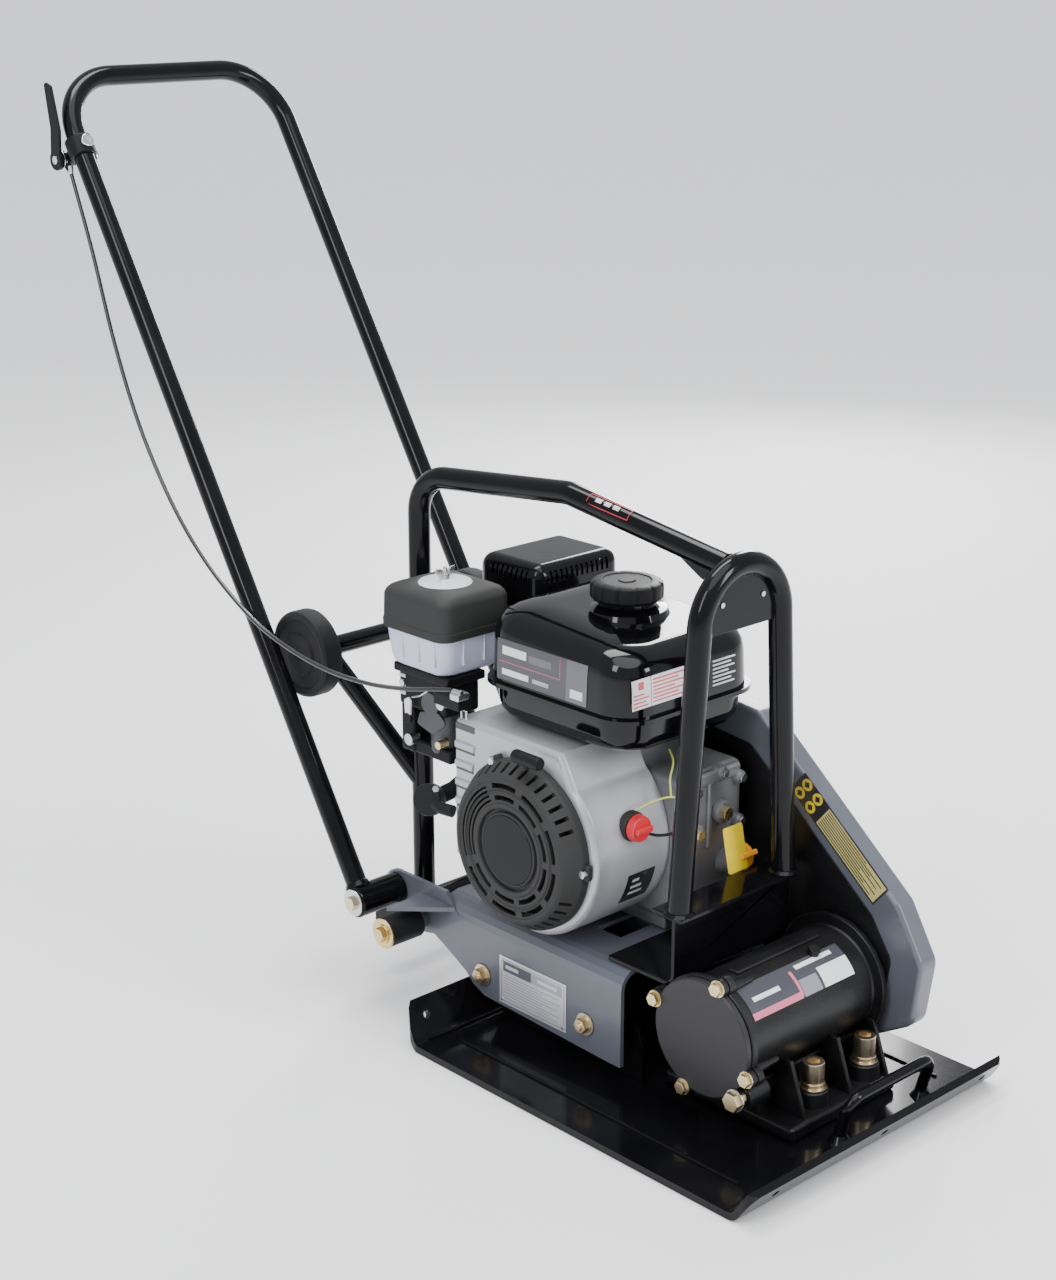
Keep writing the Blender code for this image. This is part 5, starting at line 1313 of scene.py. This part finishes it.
def make_muffler():
    low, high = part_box("muffler_guard")
    shell = block(low, high, 0.016, 6)
    hollow = block((low.x + 0.003, low.y + 0.003, low.z - 0.02), (high.x - 0.003, high.y - 0.003, high.z - 0.003),
                   0.012, 4)
    shell = carved(shell, hollow)
    slots = []
    pitch = 0.0078
    count = int((high.y - low.y - 0.030) / pitch)
    for i in range(count):
        y = low.y + 0.017 + i * pitch
        for x in (low.x, high.x):
            slots.append(block((x - 0.004, y, high.z - 0.020),
                               (x + 0.012, y + 0.0036, high.z - 0.0075)) if x == low.x else
                         block((x - 0.012, y, high.z - 0.020), (x + 0.004, y + 0.0036, high.z - 0.0075)))
    count = int((high.x - low.x - 0.034) / pitch)
    for i in range(count):
        x = low.x + 0.019 + i * pitch
        slots.append(block((x, low.y - 0.004, high.z - 0.020), (x + 0.0036, low.y + 0.012, high.z - 0.0075)))
        slots.append(block((x, high.y - 0.012, high.z - 0.020), (x + 0.0036, high.y + 0.004, high.z - 0.0075)))
    shell = carved(shell, merged(*slots))
    shapes = [(shell, black_paint())]
    for x, y in ((low.x + 0.045, low.y + 0.034), (low.x + 0.085, low.y + 0.064)):
        dimple = lathe([(0.0, high.z - 0.0060), (0.0040, high.z - 0.0060), (0.0080, high.z - 0.0012),
                        (0.0125, high.z + 0.0001),
                        (0.0160, high.z - 0.0004), (0.0160, high.z - 0.0080), (0.0, high.z - 0.0080)], (x, y,
                                                                                                        0.0), "Z", 48)
        shapes.append((dimple, black_paint()))
        shapes.append((hexagon((x, y, high.z - 0.0062), (x, y, high.z - 0.0025), 0.0042), bright_steel()))
    piece("muffler_shield", "machine", shapes, ["muffler_guard"])
    keep("muffler", finish("hot_steel", (0.20, 0.17, 0.15), 0.45, 0.9, grain=0.4, mottle=0.4), 0.001)


def make_plug_cap():
    out = (Vector((-0.118, 0.299, 0.250)) - Vector((-0.104, 0.303, 0.246))).normalized()
    start = Vector((-0.104, 0.303, 0.246))
    shapes = [(drum(start, start + out * 0.0148, 0.0180, edge=0.0030, sides=56), rubber()),
              (drum(start + out * 0.0140, start + out * 0.0152, 0.0120, edge=0.0005), rubber()),
              (pipe(softened([(-0.104, 0.302, 0.247), (-0.078, 0.298, 0.252), (-0.060, 0.296, 0.262)], 0.02, 6),
                    0.0095, 28), rubber()),
              (pipe(smooth_route([(-0.110, 0.2960, 0.246), (-0.1125, 0.280, 0.2450), (-0.1085, 0.2645, 0.2440)], 6),
                    0.0068, 24), rubber()),
              (hexagon((-0.1120, 0.2900, 0.2640), (-0.1090, 0.2910, 0.2632), 0.0040), bright_steel())]
    piece("plug_boot", "machine", shapes, ["spark_plug_cap"])


# Drive.

def make_belt_cover():
    low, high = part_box("belt_cover")
    corners = [(0.130, 0.378), (0.020, 0.368), (-0.172, 0.208), (-0.206, 0.150), (-0.196, 0.080),
               (-0.140, 0.047), (-0.070, 0.047), (0.205, 0.172), (0.240, 0.250), (0.215, 0.350)]
    line = flat_line(corners, 0.020, 10)
    shell = slab(line, low.x, high.x, "X", 0.0050, 4)
    keep_open = [drum((low.x - 0.01, c.y, c.z), (low.x + 0.004, c.y, c.z), r, sides=48) for c,
                 r in ((CRANK, 0.024), (EXCITER, 0.020))]
    shell = carved(shell, merged(*keep_open))
    shapes = [(shell, grey_paint())]
    for y, z in ((0.005, 0.338), (-0.180, 0.140), (0.200, 0.200), (-0.090, 0.060)):
        shapes.append((drum((high.x - 0.0004, y, z), (high.x + 0.0006, y, z), 0.0100, edge=0.0003), champagne_zinc()))
        shapes.append((hexagon((high.x + 0.0005, y, z), (high.x + 0.0022, y, z), 0.0070), yellow_zinc()))
    backing = flat_line([(0.112, 0.338), (0.030, 0.330), (-0.140, 0.188), (-0.168, 0.146), (-0.160, 0.092),
                         (-0.126, 0.070), (-0.070, 0.072), (0.185, 0.190), (0.205, 0.250), (0.190, 0.330)], 0.018, 8)
    plate = carved(slab(backing, low.x - 0.0014, low.x + 0.0002, "X", 0.0004),
                   merged(*[drum((low.x - 0.01, c.y, c.z), (low.x + 0.006, c.y, c.z), r, sides=48)
                            for c, r in ((CRANK, 0.024), (EXCITER, 0.020))]))
    shapes.append((plate, cast_black()))
    piece("belt_guard", "machine", shapes, ["belt_cover"])
    along = Vector((0.0, -0.192, -0.160)).normalized()
    up = Vector((0.0, along.z, -along.y))
    up = up if up.z > 0 else -up
    corner = Vector((low.x, -0.0260, 0.2960))

    def at(u, v, h):
        return corner + along * u + up * v + Vector((-h - 0.0001, 0, 0))

    yellow = print_ink("decal_yellow", (0.72, 0.52, 0.03))
    ink = print_ink("decal_ink", (0.020, 0.020, 0.024))
    pale = print_ink("decal_text", (0.50, 0.44, 0.16))
    patches = [(0.0, -0.001, 0.150, 0.029, 0, ink)]
    patches += [(0.046, 0.001, 0.148, 0.027, 1, pale)] + text_lines(0.048, 0.002, 0.146, 0.026, 8, ink, 2)
    shapes = printed(at, patches)
    for i in range(2):
        for k in range(2):
            centre = at(0.011 + 0.019 * i, 0.0066 + 0.0148 * k, 0.0)
            shapes.append((drum(centre, centre + Vector((-0.0006, 0, 0)), 0.0066, sides=36), yellow))
            shapes.append((block(centre + Vector((-0.0007, -0.0030, -0.0030)),
                                 centre + Vector((-0.0002, 0.0030, 0.0030)), 0.0), ink))
    piece("belt_decal", "machine", shapes)


def make_rest():
    for node in ("exciter_bearing_left", "exciter_bearing_right", "eccentric_shaft", "driven_pulley", "clutch_pulley",
                 "crankshaft"):
        keep(node, bright_steel(), 0.0004)
    keep("v_belt", rubber(), 0.0)
    keep("flywheel_fan", die_cast(), 0.0004)


make_camera()
make_cable()
make_studio()
make_base()
make_isolators()
make_exciter()
make_deck()
make_guard()
make_handle()
make_wheels()
make_throttle()
make_recoil()
make_shroud()
make_switch()
make_crankcase()
make_dipstick()
make_tank()
make_air_cleaner()
make_carburettor()
make_muffler()
make_plug_cap()
make_belt_cover()
make_rest()
